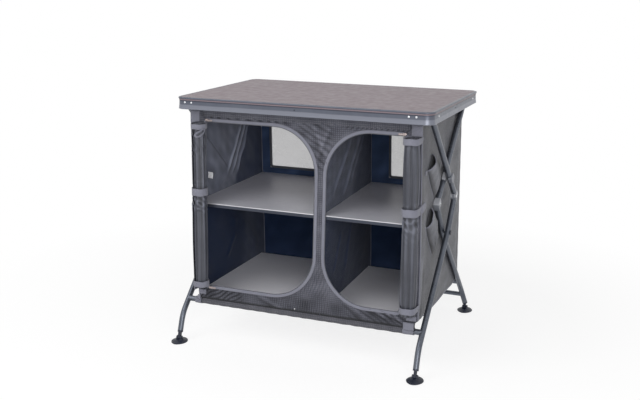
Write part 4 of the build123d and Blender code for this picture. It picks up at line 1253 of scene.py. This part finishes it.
def edge_run(name, side, z0, z1, back=False):
    """The piping down a vertical edge of the cloth body."""
    z = np.linspace(z0, z1, 110)
    x, y = (SIDE_X - 1.0, -front_y(z)) if back else (side_front(z, side) - 0.2, front_y(z, 0.2))
    path = stacked(side * x + 0.25 * np.sin(z / 9.0), y, z)
    normal = (side * 0.7, 0.7 if back else -0.7, 0)
    return sweep(name, path, normal, oval(4.2, 4.2, 10), LOOKS["light_trim"])


def bottom_run(name, side):
    """The piping along a side cloth's bottom edge."""
    y = np.linspace(-284.0, SIDE_HALF, 100)
    low = side_low(y)
    path = stacked(side * side_out(y, low, side), y, low - 0.4 + 0.6 * np.sin(y / 37.0))
    return sweep(name, path, (0, 0, -1.0), oval(4.0, 6.5, 10), LOOKS["light_trim"])


def edges():
    """The piping down the body's four edges and along its sides' feet."""
    runs = []
    for side in (-1, 1):
        runs.append(edge_run(f"front{side}", side, 177.0, 799.0))
        runs.append(edge_run(f"back{side}", side, 149.0, 799.0, back=True))
        runs.append(bottom_run(f"low{side}", side))
    hang(joined("edge_piping", runs))


edges()


def window_distance(x, z, window):
    """Distance outward from a window's edge, negative inside the opening."""
    return rounded_distance(x, z, *WINDOWS[window], WINDOW_LOW, WINDOW_TOP, WINDOW_ROUND)


def back_relief(x, z):
    """How far the back cloth stands out: slanting folds, stiller at the shelf and round the windows."""
    calm = smooth(np.minimum(window_distance(x, z, "left"), window_distance(x, z, "right")), 0, 40)
    level = 1 - 0.9 * bump(z, BOARD_LEVELS[1], 20.0)
    folds = ripple(0.8 * x + 0.5 * z, 0.3 * (0.5 * x - 0.8 * z), 140, 101)
    return (0.4 + 2.4 * folds * (0.25 + 0.75 * calm) + 1.2 * ripple(x, z, 70, 102) * calm) * level


BACK_EDGE = 394.6


def back_cloth():
    """The back panel with its two window openings, lined inside."""
    x = np.linspace(-BACK_EDGE, BACK_EDGE, 170)
    z = np.linspace(HEM_Z + 4, BODY_TOP, 140)
    openings = [lambda a, b, window=window: window_distance(a, b, window) for window in WINDOWS]
    gx, gz, kept = snapped_sheet(x, z, openings)
    calm = smooth(BACK_EDGE - np.abs(gx), 0, 25) * smooth(gz, HEM_Z, HEM_Z + 30)
    out = np.maximum(back_relief(gx, gz) * calm, -2.0)
    piece, x, z = panel_piece("back_cloth", gx, -front_y(gz, out), gz, kept, LOOKS["side_cloth"], flip=True)
    # The gloom paints shade over the whole lining, and more under the shelf.
    tint(piece, fold=0.3 * ripple(x, z, 70, 103), gloom=0.35 + 0.5 * smooth(SHELF_TOP - z, 0.0, 8.0))
    thicken(piece, 1.2)
    line_inside(piece, (0, -1, 0), "lining")
    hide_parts("back_panel")
    hang(piece)


back_cloth()


TAPE = strip_profile(9.0, 0.8)


def windows():
    """The two mesh windows, and the tape round each on both faces."""
    sheets, trims = [], []
    low, top = WINDOW_LOW - 2, WINDOW_TOP + 2
    for name, (x0, x1) in WINDOWS.items():
        x = np.linspace(x0 - 6, x1 + 6, 70)[:, None]
        z = np.linspace(WINDOW_LOW - 6, WINDOW_TOP + 6, 48)[None, :]
        calm = smooth(-window_distance(x, z, name), -4, 40)
        out = -1.7 + calm * (1.4 * ripple(x, z, 110, 110) + 0.5 * ripple(x, z, 40, 111))
        points, uvs = stacked(x, -front_y(z, out), z), stacked(x, z) * MM
        sheets.append(grid_piece("mesh", points, LOOKS["window_mesh"], uvs, flip=True))
        path = rounded_path(x0 - 2, x1 + 2, low, top, (WINDOW_ROUND + 2,) * 4)
        for out_by, normal in ((0.9, BACK_NORMAL), (-2.4, -BACK_NORMAL)):
            line = stacked(path[:, 0], -front_y(path[:, 1], out_by), path[:, 1])
            trims.append(sweep("tape", line, normal, TAPE, LOOKS["grey_cloth"], closed=True))
    piece = joined("window_meshes", sheets)
    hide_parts("back_windows")
    hang(piece)
    hang(joined("window_tape", trims))


windows()


# The divider's x at the front and at the back, and half its depth.
DIVIDER_X, DIVIDER_HALF = (75.0, 57.0), 287.2
DIVIDER_LOW, DIVIDER_TOP = 149.0, 797.0


def divider_x(y):
    """The divider's x at a depth: it runs a little aslant."""
    front, back = DIVIDER_X
    return front + (back - front) * (y + DIVIDER_HALF) / (2 * DIVIDER_HALF)


DIVIDER_FOLDS = (
    ((13.0, 690.0), (-156.0, 540.0), 8.0, 6.0),
    ((122.0, 690.0), (-46.0, 520.0), 9.0, 6.0),
    ((160.0, 680.0), (20.0, 530.0), 6.0, 4.0),
    ((-75.0, 375.0), (-149.0, 258.0), 10.0, 5.0),
    ((40.0, 400.0), (-30.0, 240.0), 9.0, 4.0),
)


def divider_cloth():
    """The cloth wall between the two halves, with piping down both its edges."""
    across = np.linspace(-1, 1, 130)[:, None]
    z = np.linspace(DIVIDER_LOW, DIVIDER_TOP, 140)[None, :]
    y = across * (-front_y(z) - 2.4)
    calm = smooth(1 - np.abs(across), 0, 0.08)
    for board in BOARD_LEVELS:
        calm = calm * (1 - 0.93 * bump(z, board, 14.0))
    out = (1.6 * ripple(y, z, 190, 122) + 0.5 * ripple(y, z, 60, 123)) * calm
    out = out + folded(y, z, DIVIDER_FOLDS) * calm
    points, uvs = stacked(divider_x(y) + out, y, z), stacked(y, z) * MM
    piece = grid_piece("divider_cloth", points, LOOKS["lining_side"], uvs)
    # The tone paints highlights on the divider's folds and shade behind them; the gloom paints shade all
    # over, more behind the shadow line above the shelf, and most under the shelf.
    tone = 0.2 * ripple(y, z, 60, 124)
    for start, end, width, height in DIVIDER_FOLDS:
        behind = [(py + 1.7 * width, pz) for py, pz in (start, end)]
        tone = tone + height / 8.0 * (ridge(y, z, start, end, width) - 0.6 * ridge(y, z, *behind, width))
    gloom = 0.46 + 0.36 * smooth(y - shadow_line(60.0, z), -20.0, 40.0) * (z > SHELF_TOP - 2.0)
    tint(piece, fold=tone, gloom=gloom + 0.42 * below_shelf(z))
    thicken(piece, 1.2, 0.0)
    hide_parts("divider")
    hang(piece)
    runs = []
    line = np.linspace(DIVIDER_LOW + 2, DIVIDER_TOP - 1, 100)
    for sign in (-1, 1):
        y = sign * (-front_y(line) - 3.4)
        path = stacked(divider_x(y), y, line)
        runs.append(sweep("run", path, (0.0, -1.0, 0.0), oval(3.6, 3.6, 10), LOOKS["light_trim"]))
    hang(joined("divider_piping", runs))


divider_cloth()


# Pockets and tag

POCKET_SPREAD, MOUTH_WIDE = 11.0, 11.0
# Each pocket's corners as (y, z): its mouth's top, its mouth's foot, the low tip and the low far corner.
# Then its seed and how full it is.
POCKETS = {
    "upper": (((-130.0, 688.0), (-202.0, 647.0), (-57.0, 493.0), (9.0, 549.0)), 131, 17.0),
    "lower": (((-130.0, 511.0), (-173.0, 453.0), (-88.0, 340.0), (15.0, 390.0)), 132, 18.0),
}
# Each mouth's tab, as (y, z, width, height).
TABS = ((-218.0, 643.0, 14.0, 14.0), (-195.0, 458.0, 16.0, 12.0))


def pocket(name, corners, seed, fullness):
    """A pocket's shell and its piping: open at its slanted mouth, bellied, and gathered below."""
    top, low, tip, far = corners
    u = np.linspace(0, 1, 56)[:, None]
    v = np.linspace(0, 1, 76)[None, :]
    full = POCKET_SPREAD * np.sin(math.pi * v) * u
    y, z = (
        (1 - v) * (low[k] + (top[k] - low[k]) * u) + v * (tip[k] + (far[k] - tip[k]) * u) + full
        for k in (0, 1)
    )
    belly = 4 * u * (1 - u)
    room = smooth(from_tube(y, z), 12.0, 42.0)
    bulge = fullness * (1 - 0.75 * v ** 1.5) * belly ** 0.6
    waves = np.abs(np.sin(math.pi * 3 * u + 1.4 * np.sin(4 * v)))
    pleat = 2.2 * waves * smooth(v, 0.45, 0.85) * belly ** 0.4
    slack = 1.3 * ripple(y, z, 45, seed) * belly
    x = side_out(y, z, 1) + 0.5 + np.maximum(bulge + pleat + slack, 0) * room
    points = stacked(x, y, z)
    # The tone paints a highlight on the belly and along the mouth, and shade along both edges, down the
    # lower part and in the pleats at the tip.
    tone = 0.6 * bump(u, 0.4, 0.3) + 0.5 * bump(v, 0.03, 0.08)
    tone = tone - 1.1 * bump(u, 1.0, 0.16) - 0.9 * bump(u, 0.0, 0.09) - 0.35 * smooth(v, 0.6, 1.0)
    tone = tone - 0.9 * grooves(u, 0.35 * v, 90.0, 0.24, seed, 0.16) * smooth(v, 0.4, 0.8)
    shell = grid_piece(name, points, LOOKS["side_cloth"], stacked(y, z) * MM)
    tint(shell, fold=tone)
    thicken(shell, 0.8, 1.0)
    piping = []
    for line, size in ((points[:, 0, :], 4.4), (points[0, :, :], 2.6)):
        line = line + np.array([0.5, 0, 0])
        piping.append(sweep("run", line, (1.0, 0, 0), oval(size, size * 0.8, 10), LOOKS["light_trim"]))
    return shell, piping


def pocket_mouth(top, low):
    """A dark sheet of painted shade, seen behind a pocket's open mouth."""
    u = np.linspace(0, 1, 30)[:, None]
    v = np.linspace(0, 1, 8)[None, :]
    across = np.array((low[1] - top[1], top[0] - low[0]), float)
    across /= np.linalg.norm(across)
    wide = MOUTH_WIDE * np.sin(math.pi * u) ** 0.6 * (v - 0.1)
    y = low[0] + (top[0] - low[0]) * u + across[0] * wide
    z = low[1] + (top[1] - low[1]) * u
    points = stacked(side_out(y, z, 1) + 0.8, y, z)
    return thicken(grid_piece("mouth", points, LOOKS["lining_pocket_shade"], stacked(y, z) * MM), 0.5)


def tab(y, z, width, height):
    """A small light tab sewn on the right side."""
    ys = np.linspace(-width / 2, width / 2, 6)[:, None]
    zs = np.linspace(-height / 2, height / 2, 8)[None, :]
    x = side_out(y + ys, z + zs, 1) + 1.6 + 0.5 * np.cos(zs / height * math.pi)
    points = stacked(x, y + ys, z + zs)
    return thicken(grid_piece("tab", points, LOOKS["light_trim"], points[:, :, 1:] * MM), 1.0)


def pockets():
    """The two pockets on the right side, the painted shade in their mouths, their piping and tabs."""
    shells, mouths, trims = [], [], []
    for name, (corners, seed, fullness) in POCKETS.items():
        shell, piping = pocket(f"pocket_{name}", corners, seed, fullness)
        shells.append(shell)
        trims += piping
        mouths.append(pocket_mouth(*corners[:2]))
    shells = joined("pockets", shells)
    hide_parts("side_pockets")
    hang(shells)
    hang(joined("pocket_mouth_shades", mouths))
    hang(joined("pocket_trim", trims + [tab(*values) for values in TABS]))


pockets()


# The tag's sewn edge and its top, and its width and height.
TAG_PLACE, TAG_SIZE = (-395.0, -170.0, 571.0), (20.0, 22.0)


def tag():
    """The blank white tag, which stands out from the left side's seam and faces the front."""
    u = np.linspace(0, 1, 12)[:, None]
    v = np.linspace(0, 1, 16)[None, :]
    x = TAG_PLACE[0] + TAG_SIZE[0] * u + 0.4 * np.sin(v * 4)
    y = TAG_PLACE[1] - 2.0 * u ** 2 + 0.8 * np.sin(v * 5) * u
    z = TAG_PLACE[2] - TAG_SIZE[1] * v - 1.0 * u
    points, uvs = stacked(x, y, z), stacked(x, z) * MM
    piece = thicken(grid_piece("blank_tag", points, LOOKS["tag_cloth"], uvs), 0.4)
    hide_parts("care_tag")
    hang(piece)


tag()


# Tabletop rim

# The rim's section, as (distance out from the rim's outermost line, height).
RIM_PROFILE = [
    (-9.0, 845.9), (-6.0, 846.0), (-3.0, 846.0), (-1.2, 845.4), (-0.3, 844.2), (0.0, 842.8),
    (-0.3, 841.4), (-1.2, 840.4), (-2.3, 839.9), (-2.9, 838.8), (-3.1, 836.0), (-3.1, 830.0),
    (-2.8, 824.0), (-2.3, 818.0), (-1.6, 812.6), (-1.0, 809.4), (-0.6, 807.6), (-0.8, 806.5),
    (-1.8, 806.0), (-4.4, 806.0), (-4.6, 807.6), (-3.6, 808.6), (-4.6, 822.0), (-5.0, 836.0),
    (-5.4, 843.6), (-9.0, 843.9),
]
HALF_W, HALF_D, CORNER_R = 443.0, 297.5, 30.0


def rounded_loop(half_w, half_d, radius):
    """A closed path in plan round a rectangle, with the outward direction at each point."""
    path, out = [], []
    for quarter, (sx, sy) in enumerate(((1, -1), (1, 1), (-1, 1), (-1, -1))):
        centre = np.array([sx * (half_w - radius), sy * (half_d - radius)])
        for turn in np.radians(90 * quarter - 90 + np.linspace(0, 90, 19)):
            out.append(np.array([math.cos(turn), math.sin(turn)]))
            path.append(centre + radius * out[-1])
    points, normals = [], []
    for a, b, normal in zip(path, path[1:] + path[:1], out):
        count = max(1, int(np.linalg.norm(b - a) / 20))
        for step in range(count):
            points.append(a + (b - a) * step / count)
            normals.append(normal)
    return np.array(points), np.array(normals)


def rim():
    """The tabletop's edging: one bent profile all the way round."""
    path, out = rounded_loop(HALF_W, HALF_D, CORNER_R)
    profile = np.array(RIM_PROFILE)
    plan = path[:, None, :] + out[:, None, :] * profile[None, :, 0:1]
    points = stacked(plan[:, :, 0], plan[:, :, 1], profile[None, :, 1])
    uvs = stacked(along(path)[:, None], along(profile)) * MM
    piece = tube_piece("rim_edging", points, LOOKS["rim_metal"], uvs, closed=True)
    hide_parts("rim_rails", "rim_corners")
    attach(piece, "tabletop")


rim()

# Turned outlines, as (height, radius).
RIVET_DOME = [(0.0, 3.5), (0.6, 3.4), (1.2, 2.9), (1.7, 2.1), (2.05, 1.1), (2.2, 0.2)]
SCREW_HEAD = [(0.0, 2.8), (0.4, 2.7), (0.7, 2.2), (0.5, 1.4), (0.2, 0.8), (0.1, 0.2)]
# How far in the rim's wall is, and the heights of the rivets on the long sides and of the rest.
RIM_WALL, LONG_RIVET_Z, SHORT_RIVET_Z = 3.2, 829.0, 826.0


def rivets():
    """The rivets and screws round the rim."""
    heads, screws = [], []
    for sign in (-1, 1):
        wall_y, wall_x = sign * (HALF_D - RIM_WALL), sign * (HALF_W - RIM_WALL)
        along_x, along_y = (0, sign, 0), (sign, 0, 0)
        places = [((x, wall_y, LONG_RIVET_Z), along_x) for x in (-408.0, -384.0, 365.0, 389.0)]
        places += [((wall_x, y, SHORT_RIVET_Z), along_y) for y in (-224.5, 224.5)]
        heads += [lathe("head", *place, RIVET_DOME, LOOKS["pin_steel"], 16) for place in places]
        places = [((-12.0, wall_y, SHORT_RIVET_Z), along_x), ((wall_x, -17.0, SHORT_RIVET_Z), along_y)]
        screws += [lathe("screw", *place, SCREW_HEAD, LOOKS["black_plastic"], 16) for place in places]
    domes = joined("rim_rivet_heads", heads)
    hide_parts("rim_rivets")
    for piece in (domes, joined("rim_screws", screws)):
        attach(piece, "tabletop")


rivets()


# Zip sliders

# Rings of a slider's body and of its pull, as (share of the plan, height).
SLIDER_RINGS = ((0.94, 0.0), (1.0, 0.6), (1.0, 2.6), (0.93, 3.7), (0.76, 4.3), (0.4, 4.5), (0.04, 4.5))
SLIDER_LENGTH, SLIDER_WIDTH, SLIDER_BACK = 14.0, 9.0, 3.6
PULL_WIDTH, PULL_BACK = 6.0, 7.6
PULL_RINGS = ((0.97, 0.0), (1.0, 0.4), (0.98, 1.0), (0.9, 1.4), (0.72, 1.1), (0.04, 1.1))


def domed(x, z, width, height, base, rings):
    """A rounded plate lying on the front cloth, its middle at (x, z) and its back a distance out."""
    plan = rounded_path(-width / 2, width / 2, -height / 2, height / 2, (height * 0.36,) * 4, 2.0)
    points = np.array([
        [(x + share * px, front_y(z + share * pz, base + lift), z + share * pz) for px, pz in plan]
        for share, lift in rings
    ])
    return tube_piece("plate", points, LOOKS["zip_metal"], points[:, :, 0::2] * MM)


def slider(node, body, inward):
    """A zip slider with its pull laid along the tape, where the CAD has it."""
    low, high = (np.array(corner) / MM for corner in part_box(node))
    z = (low[2] + high[2]) / 2
    half = SLIDER_LENGTH / 2
    x = low[0] + half if inward > 0 else high[0] - half
    reach = high[0] - low[0] - half
    pieces = [
        domed(x, z, SLIDER_LENGTH, SLIDER_WIDTH, SLIDER_BACK, SLIDER_RINGS),
        domed(x + inward * reach / 2, z, reach, PULL_WIDTH, PULL_BACK, PULL_RINGS),
    ]
    piece = joined(node + "_piece", pieces)
    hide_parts(node)
    hang(piece, body)


slider("zip_slider_top_left", "slider_top_left", 1)
slider("zip_slider_top_right", "slider_top_right", -1)
slider("zip_slider_bottom_left", "slider_bottom_left", 1)


# Feet

FOOT_PIN_Y, FOOT_PIN_Z = 346.0, 14.0
FOOT_X = {"front": 425.0, "rear": 417.5}
FOOT_HALF_X, FOOT_HALF_Y = 28.0, 34.0
# Rings of the pad, as (share of the plan, height).
PAD_RINGS = (
    (0.97, 0.0), (1.0, 0.8), (1.0, 2.4), (0.97, 3.2), (0.8, 4.4),
    (0.62, 6.2), (0.48, 8.2), (0.34, 9.0), (0.04, 9.2),
)
# How pointed the pad's plan is: 1 is an oval.
PAD_POINT = 1.12
EAR_R, EAR_NEAR, EAR_FAR = 7.4, 4.6, 9.6
CAP_DOME = [(0, 3.6), (0.7, 3.5), (1.2, 2.8), (1.3, 0.3)]


def slab(name, outline, x0, x1, material):
    """A plate across x from an outline of (y, z) points."""
    outline = np.asarray(outline, float)
    count = len(outline)
    verts = [(x0, y, z) for y, z in outline] + [(x1, y, z) for y, z in outline]
    faces = [list(range(count)), list(range(count, 2 * count))[::-1]]
    faces += [[j, count + j, count + (j + 1) % count, (j + 1) % count] for j in range(count)]
    return soften(mesh_piece(name, verts, faces, material, np.zeros((len(verts), 2)), smooth=False), 0.9)


def foot(name, x, front, body):
    """A pad with drawn-out ends and a raised middle, and the two ears that hold the ankle's pin."""
    pin_y = FOOT_PIN_Y * front
    turn = np.linspace(0, 2 * math.pi, 48, endpoint=False)
    plan_x, plan_y = (
        half * np.sign(wave) * np.abs(wave) ** PAD_POINT
        for half, wave in ((FOOT_HALF_X, np.cos(turn)), (FOOT_HALF_Y, np.sin(turn)))
    )
    share, height = (column[:, None] for column in np.array(PAD_RINGS).T)
    uvs = stacked(np.arange(len(PAD_RINGS))[:, None] * 0.005, turn * TURN_UV)
    points = stacked(x + share * plan_x, pin_y + share * plan_y, height)
    plastic = LOOKS["black_plastic"]
    pieces = [tube_piece("pad", points, plastic, uvs)]
    arc = np.radians(np.linspace(-20, 200, 15))
    ear = [(pin_y + EAR_R * math.cos(t), FOOT_PIN_Z + EAR_R * math.sin(t)) for t in arc]
    ear += [(pin_y - 19.0, 3.0), (pin_y + 19.0, 3.0)]
    for hand in (-1, 1):
        near, far = sorted((x + hand * EAR_NEAR, x + hand * EAR_FAR))
        pieces.append(slab("ear", ear, near, far, plastic))
        cap_x = x + hand * (EAR_FAR - 0.4)
        pieces.append(lathe("cap", (cap_x, pin_y, FOOT_PIN_Z), (hand, 0, 0), CAP_DOME, plastic, 14))
    piece = joined(name + "_pad", pieces)
    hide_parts(name)
    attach(piece, body)


for end, front in (("front", -1), ("rear", 1)):
    for hand, sign in (("left", -1), ("right", 1)):
        foot(f"{end}_foot_{hand}", FOOT_X[end] * sign, front, f"{end}_{hand}_foot")


# Looks of the CAD nodes that stay

ENDS, HANDS = ("front", "rear"), ("left", "right")
KEPT = {
    "frame_tube": [
        *(f"{end}_{part}_{hand}" for end in ENDS for part in ("leg", "upper_tube") for hand in HANDS),
        *(f"{end}_{level}_crossbar" for end in ENDS for level in ("low", "top")),
        "rear_spreader",
    ],
    "hinge_plastic": ["front_knuckle_bases", "rear_knuckle_bases", "crossing_collars"],
    "hinge_light": ["front_knuckle_forks", "rear_knuckle_forks", "crossing_plates"],
    "pin_steel": ["front_knuckle_pins", "rear_knuckle_pins"],
    "black_plastic": ["front_ankles", "rear_ankles", "lower_pivots"],
    "laminate": ["top_panel"],
    "board": ["top_battens", "shelf_board_left", "shelf_board_right"],
    "floor_board": ["floor_board_left", "floor_board_right"],
    "board_edge": ["shelf_edges"],
}

for look_name, nodes in KEPT.items():
    for node in nodes:
        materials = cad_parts[node].data.materials
        materials.clear()
        materials.append(LOOKS[look_name])


# Floor, light and camera

FLOOR_SHADE, FLOOR_GLOW, WORLD_SOFT = 0.3, 0.76, 0.5
FLOOR_NEAR, FLOOR_FAR = 0.9, 1.7
FLOOR_HALF, FLOOR_Z = 9000.0, -0.5


def seen_rays(graph):
    """1 for camera, glossy and transmission rays."""
    paths = graph.add("LightPath").outputs
    glossy = graph.math("MAXIMUM", paths["Is Camera Ray"], paths["Is Glossy Ray"])
    return graph.math("MAXIMUM", glossy, paths["Is Transmission Ray"])


def mixed(graph, share, first, second):
    """A mix of two shaders."""
    return graph.add("MixShader", {0: share, 1: first.outputs[0], 2: second.outputs[0]})


def floor():
    """The pale floor, white to the eye but for the object's soft shadow near it."""
    around = ((-1, -1), (1, -1), (1, 1), (-1, 1))
    corners = [(sx * FLOOR_HALF, sy * FLOOR_HALF, FLOOR_Z) for sx, sy in around]
    piece = mesh_piece("floor", corners, [(0, 1, 2, 3)], bpy.data.materials.new("floor"), smooth=False)
    piece.active_material.use_nodes = True
    graph = Graph(piece.active_material.node_tree)
    plain = graph.nodes["Principled BSDF"]
    plain.inputs["Base Color"].default_value = (0.83, 0.83, 0.83, 1)
    plain.inputs["Roughness"].default_value = 0.9
    plain.inputs["Specular IOR Level"].default_value = 0.1
    shaded = graph.add("BsdfDiffuse", {0: (FLOOR_SHADE, FLOOR_SHADE, FLOOR_SHADE, 1)})
    glow, white = (graph.add("Emission", {1: strength}) for strength in (FLOOR_GLOW, 1.0))
    near = graph.add("AddShader", {0: shaded.outputs[0], 1: glow.outputs[0]})
    place = graph.add("TexCoord").outputs["Object"]
    away = graph.add("VectorMath", {0: place}, operation="LENGTH").outputs["Value"]
    fade = graph.add("MapRange", {"From Min": FLOOR_NEAR, "From Max": FLOOR_FAR, "Value": away})
    seen = mixed(graph, fade.outputs[0], near, white)
    final = mixed(graph, seen_rays(graph), plain, seen)
    graph.put(graph.nodes["Material Output"].inputs[0], final.outputs[0])


def sky():
    """A soft even light all round, and white to the eye."""
    world = bpy.context.scene.world or bpy.data.worlds.new("world")
    bpy.context.scene.world = world
    world.use_nodes = True
    graph = Graph(world.node_tree)
    graph.nodes.clear()
    soft, white = (graph.add("Background", {0: (1, 1, 1, 1), 1: power}) for power in (WORLD_SOFT, 1.0))
    final = mixed(graph, seen_rays(graph), soft, white)
    graph.put(graph.add("OutputWorld").inputs[0], final.outputs[0])


# Each lamp's place, its target, its size and its power.
LAMPS = {
    "key": ((-1.4, -2.6, 3.2), (0.0, 0.0, 0.45), 2.4, 46.0),
    "fill": ((1.9, -3.5, 1.5), (0.0, 0.0, 0.42), 2.2, 62.0),
}


def lamp(name, place, target, size, power):
    """A square soft light that faces a target."""
    data = bpy.data.lights.new(name, "AREA")
    data.shape = "SQUARE"
    data.size = size
    data.energy = power
    made = bpy.data.objects.new(name, data)
    made.location = place
    made.rotation_euler = (Vector(target) - Vector(place)).to_track_quat("-Z", "Y").to_euler()
    bpy.context.scene.collection.objects.link(made)


# The camera fitted to the photograph: turn, tilt and roll in degrees, its place and its lens.
CAMERA_TURN = (21.96, 13.67, 0.365)
CAMERA_PLACE = (1.17847, -3.02455, 1.25866)
CAMERA_LENS, CAMERA_SENSOR = 53.22, 36.0


def camera():
    """The photograph's camera."""
    yaw, pitch, roll = (math.radians(turn) for turn in CAMERA_TURN)
    flat = math.cos(pitch)
    ahead = Vector((-math.sin(yaw) * flat, math.cos(yaw) * flat, -math.sin(pitch)))
    right = Vector((math.cos(yaw), math.sin(yaw), 0))
    up = right.cross(ahead)
    turned_right = right * math.cos(roll) + up * math.sin(roll)
    turned_up = up * math.cos(roll) - right * math.sin(roll)
    data = bpy.data.cameras.new("camera")
    data.lens = CAMERA_LENS
    data.sensor_width = CAMERA_SENSOR
    made = bpy.data.objects.new("camera", data)
    matrix = Matrix((turned_right, turned_up, -ahead)).transposed().to_4x4()
    matrix.translation = Vector(CAMERA_PLACE)
    made.matrix_world = matrix
    bpy.context.scene.collection.objects.link(made)
    bpy.context.scene.camera = made


floor()
sky()
for lamp_name, values in LAMPS.items():
    lamp(lamp_name, *values)
camera()
bpy.context.scene.view_settings.view_transform = "Standard"
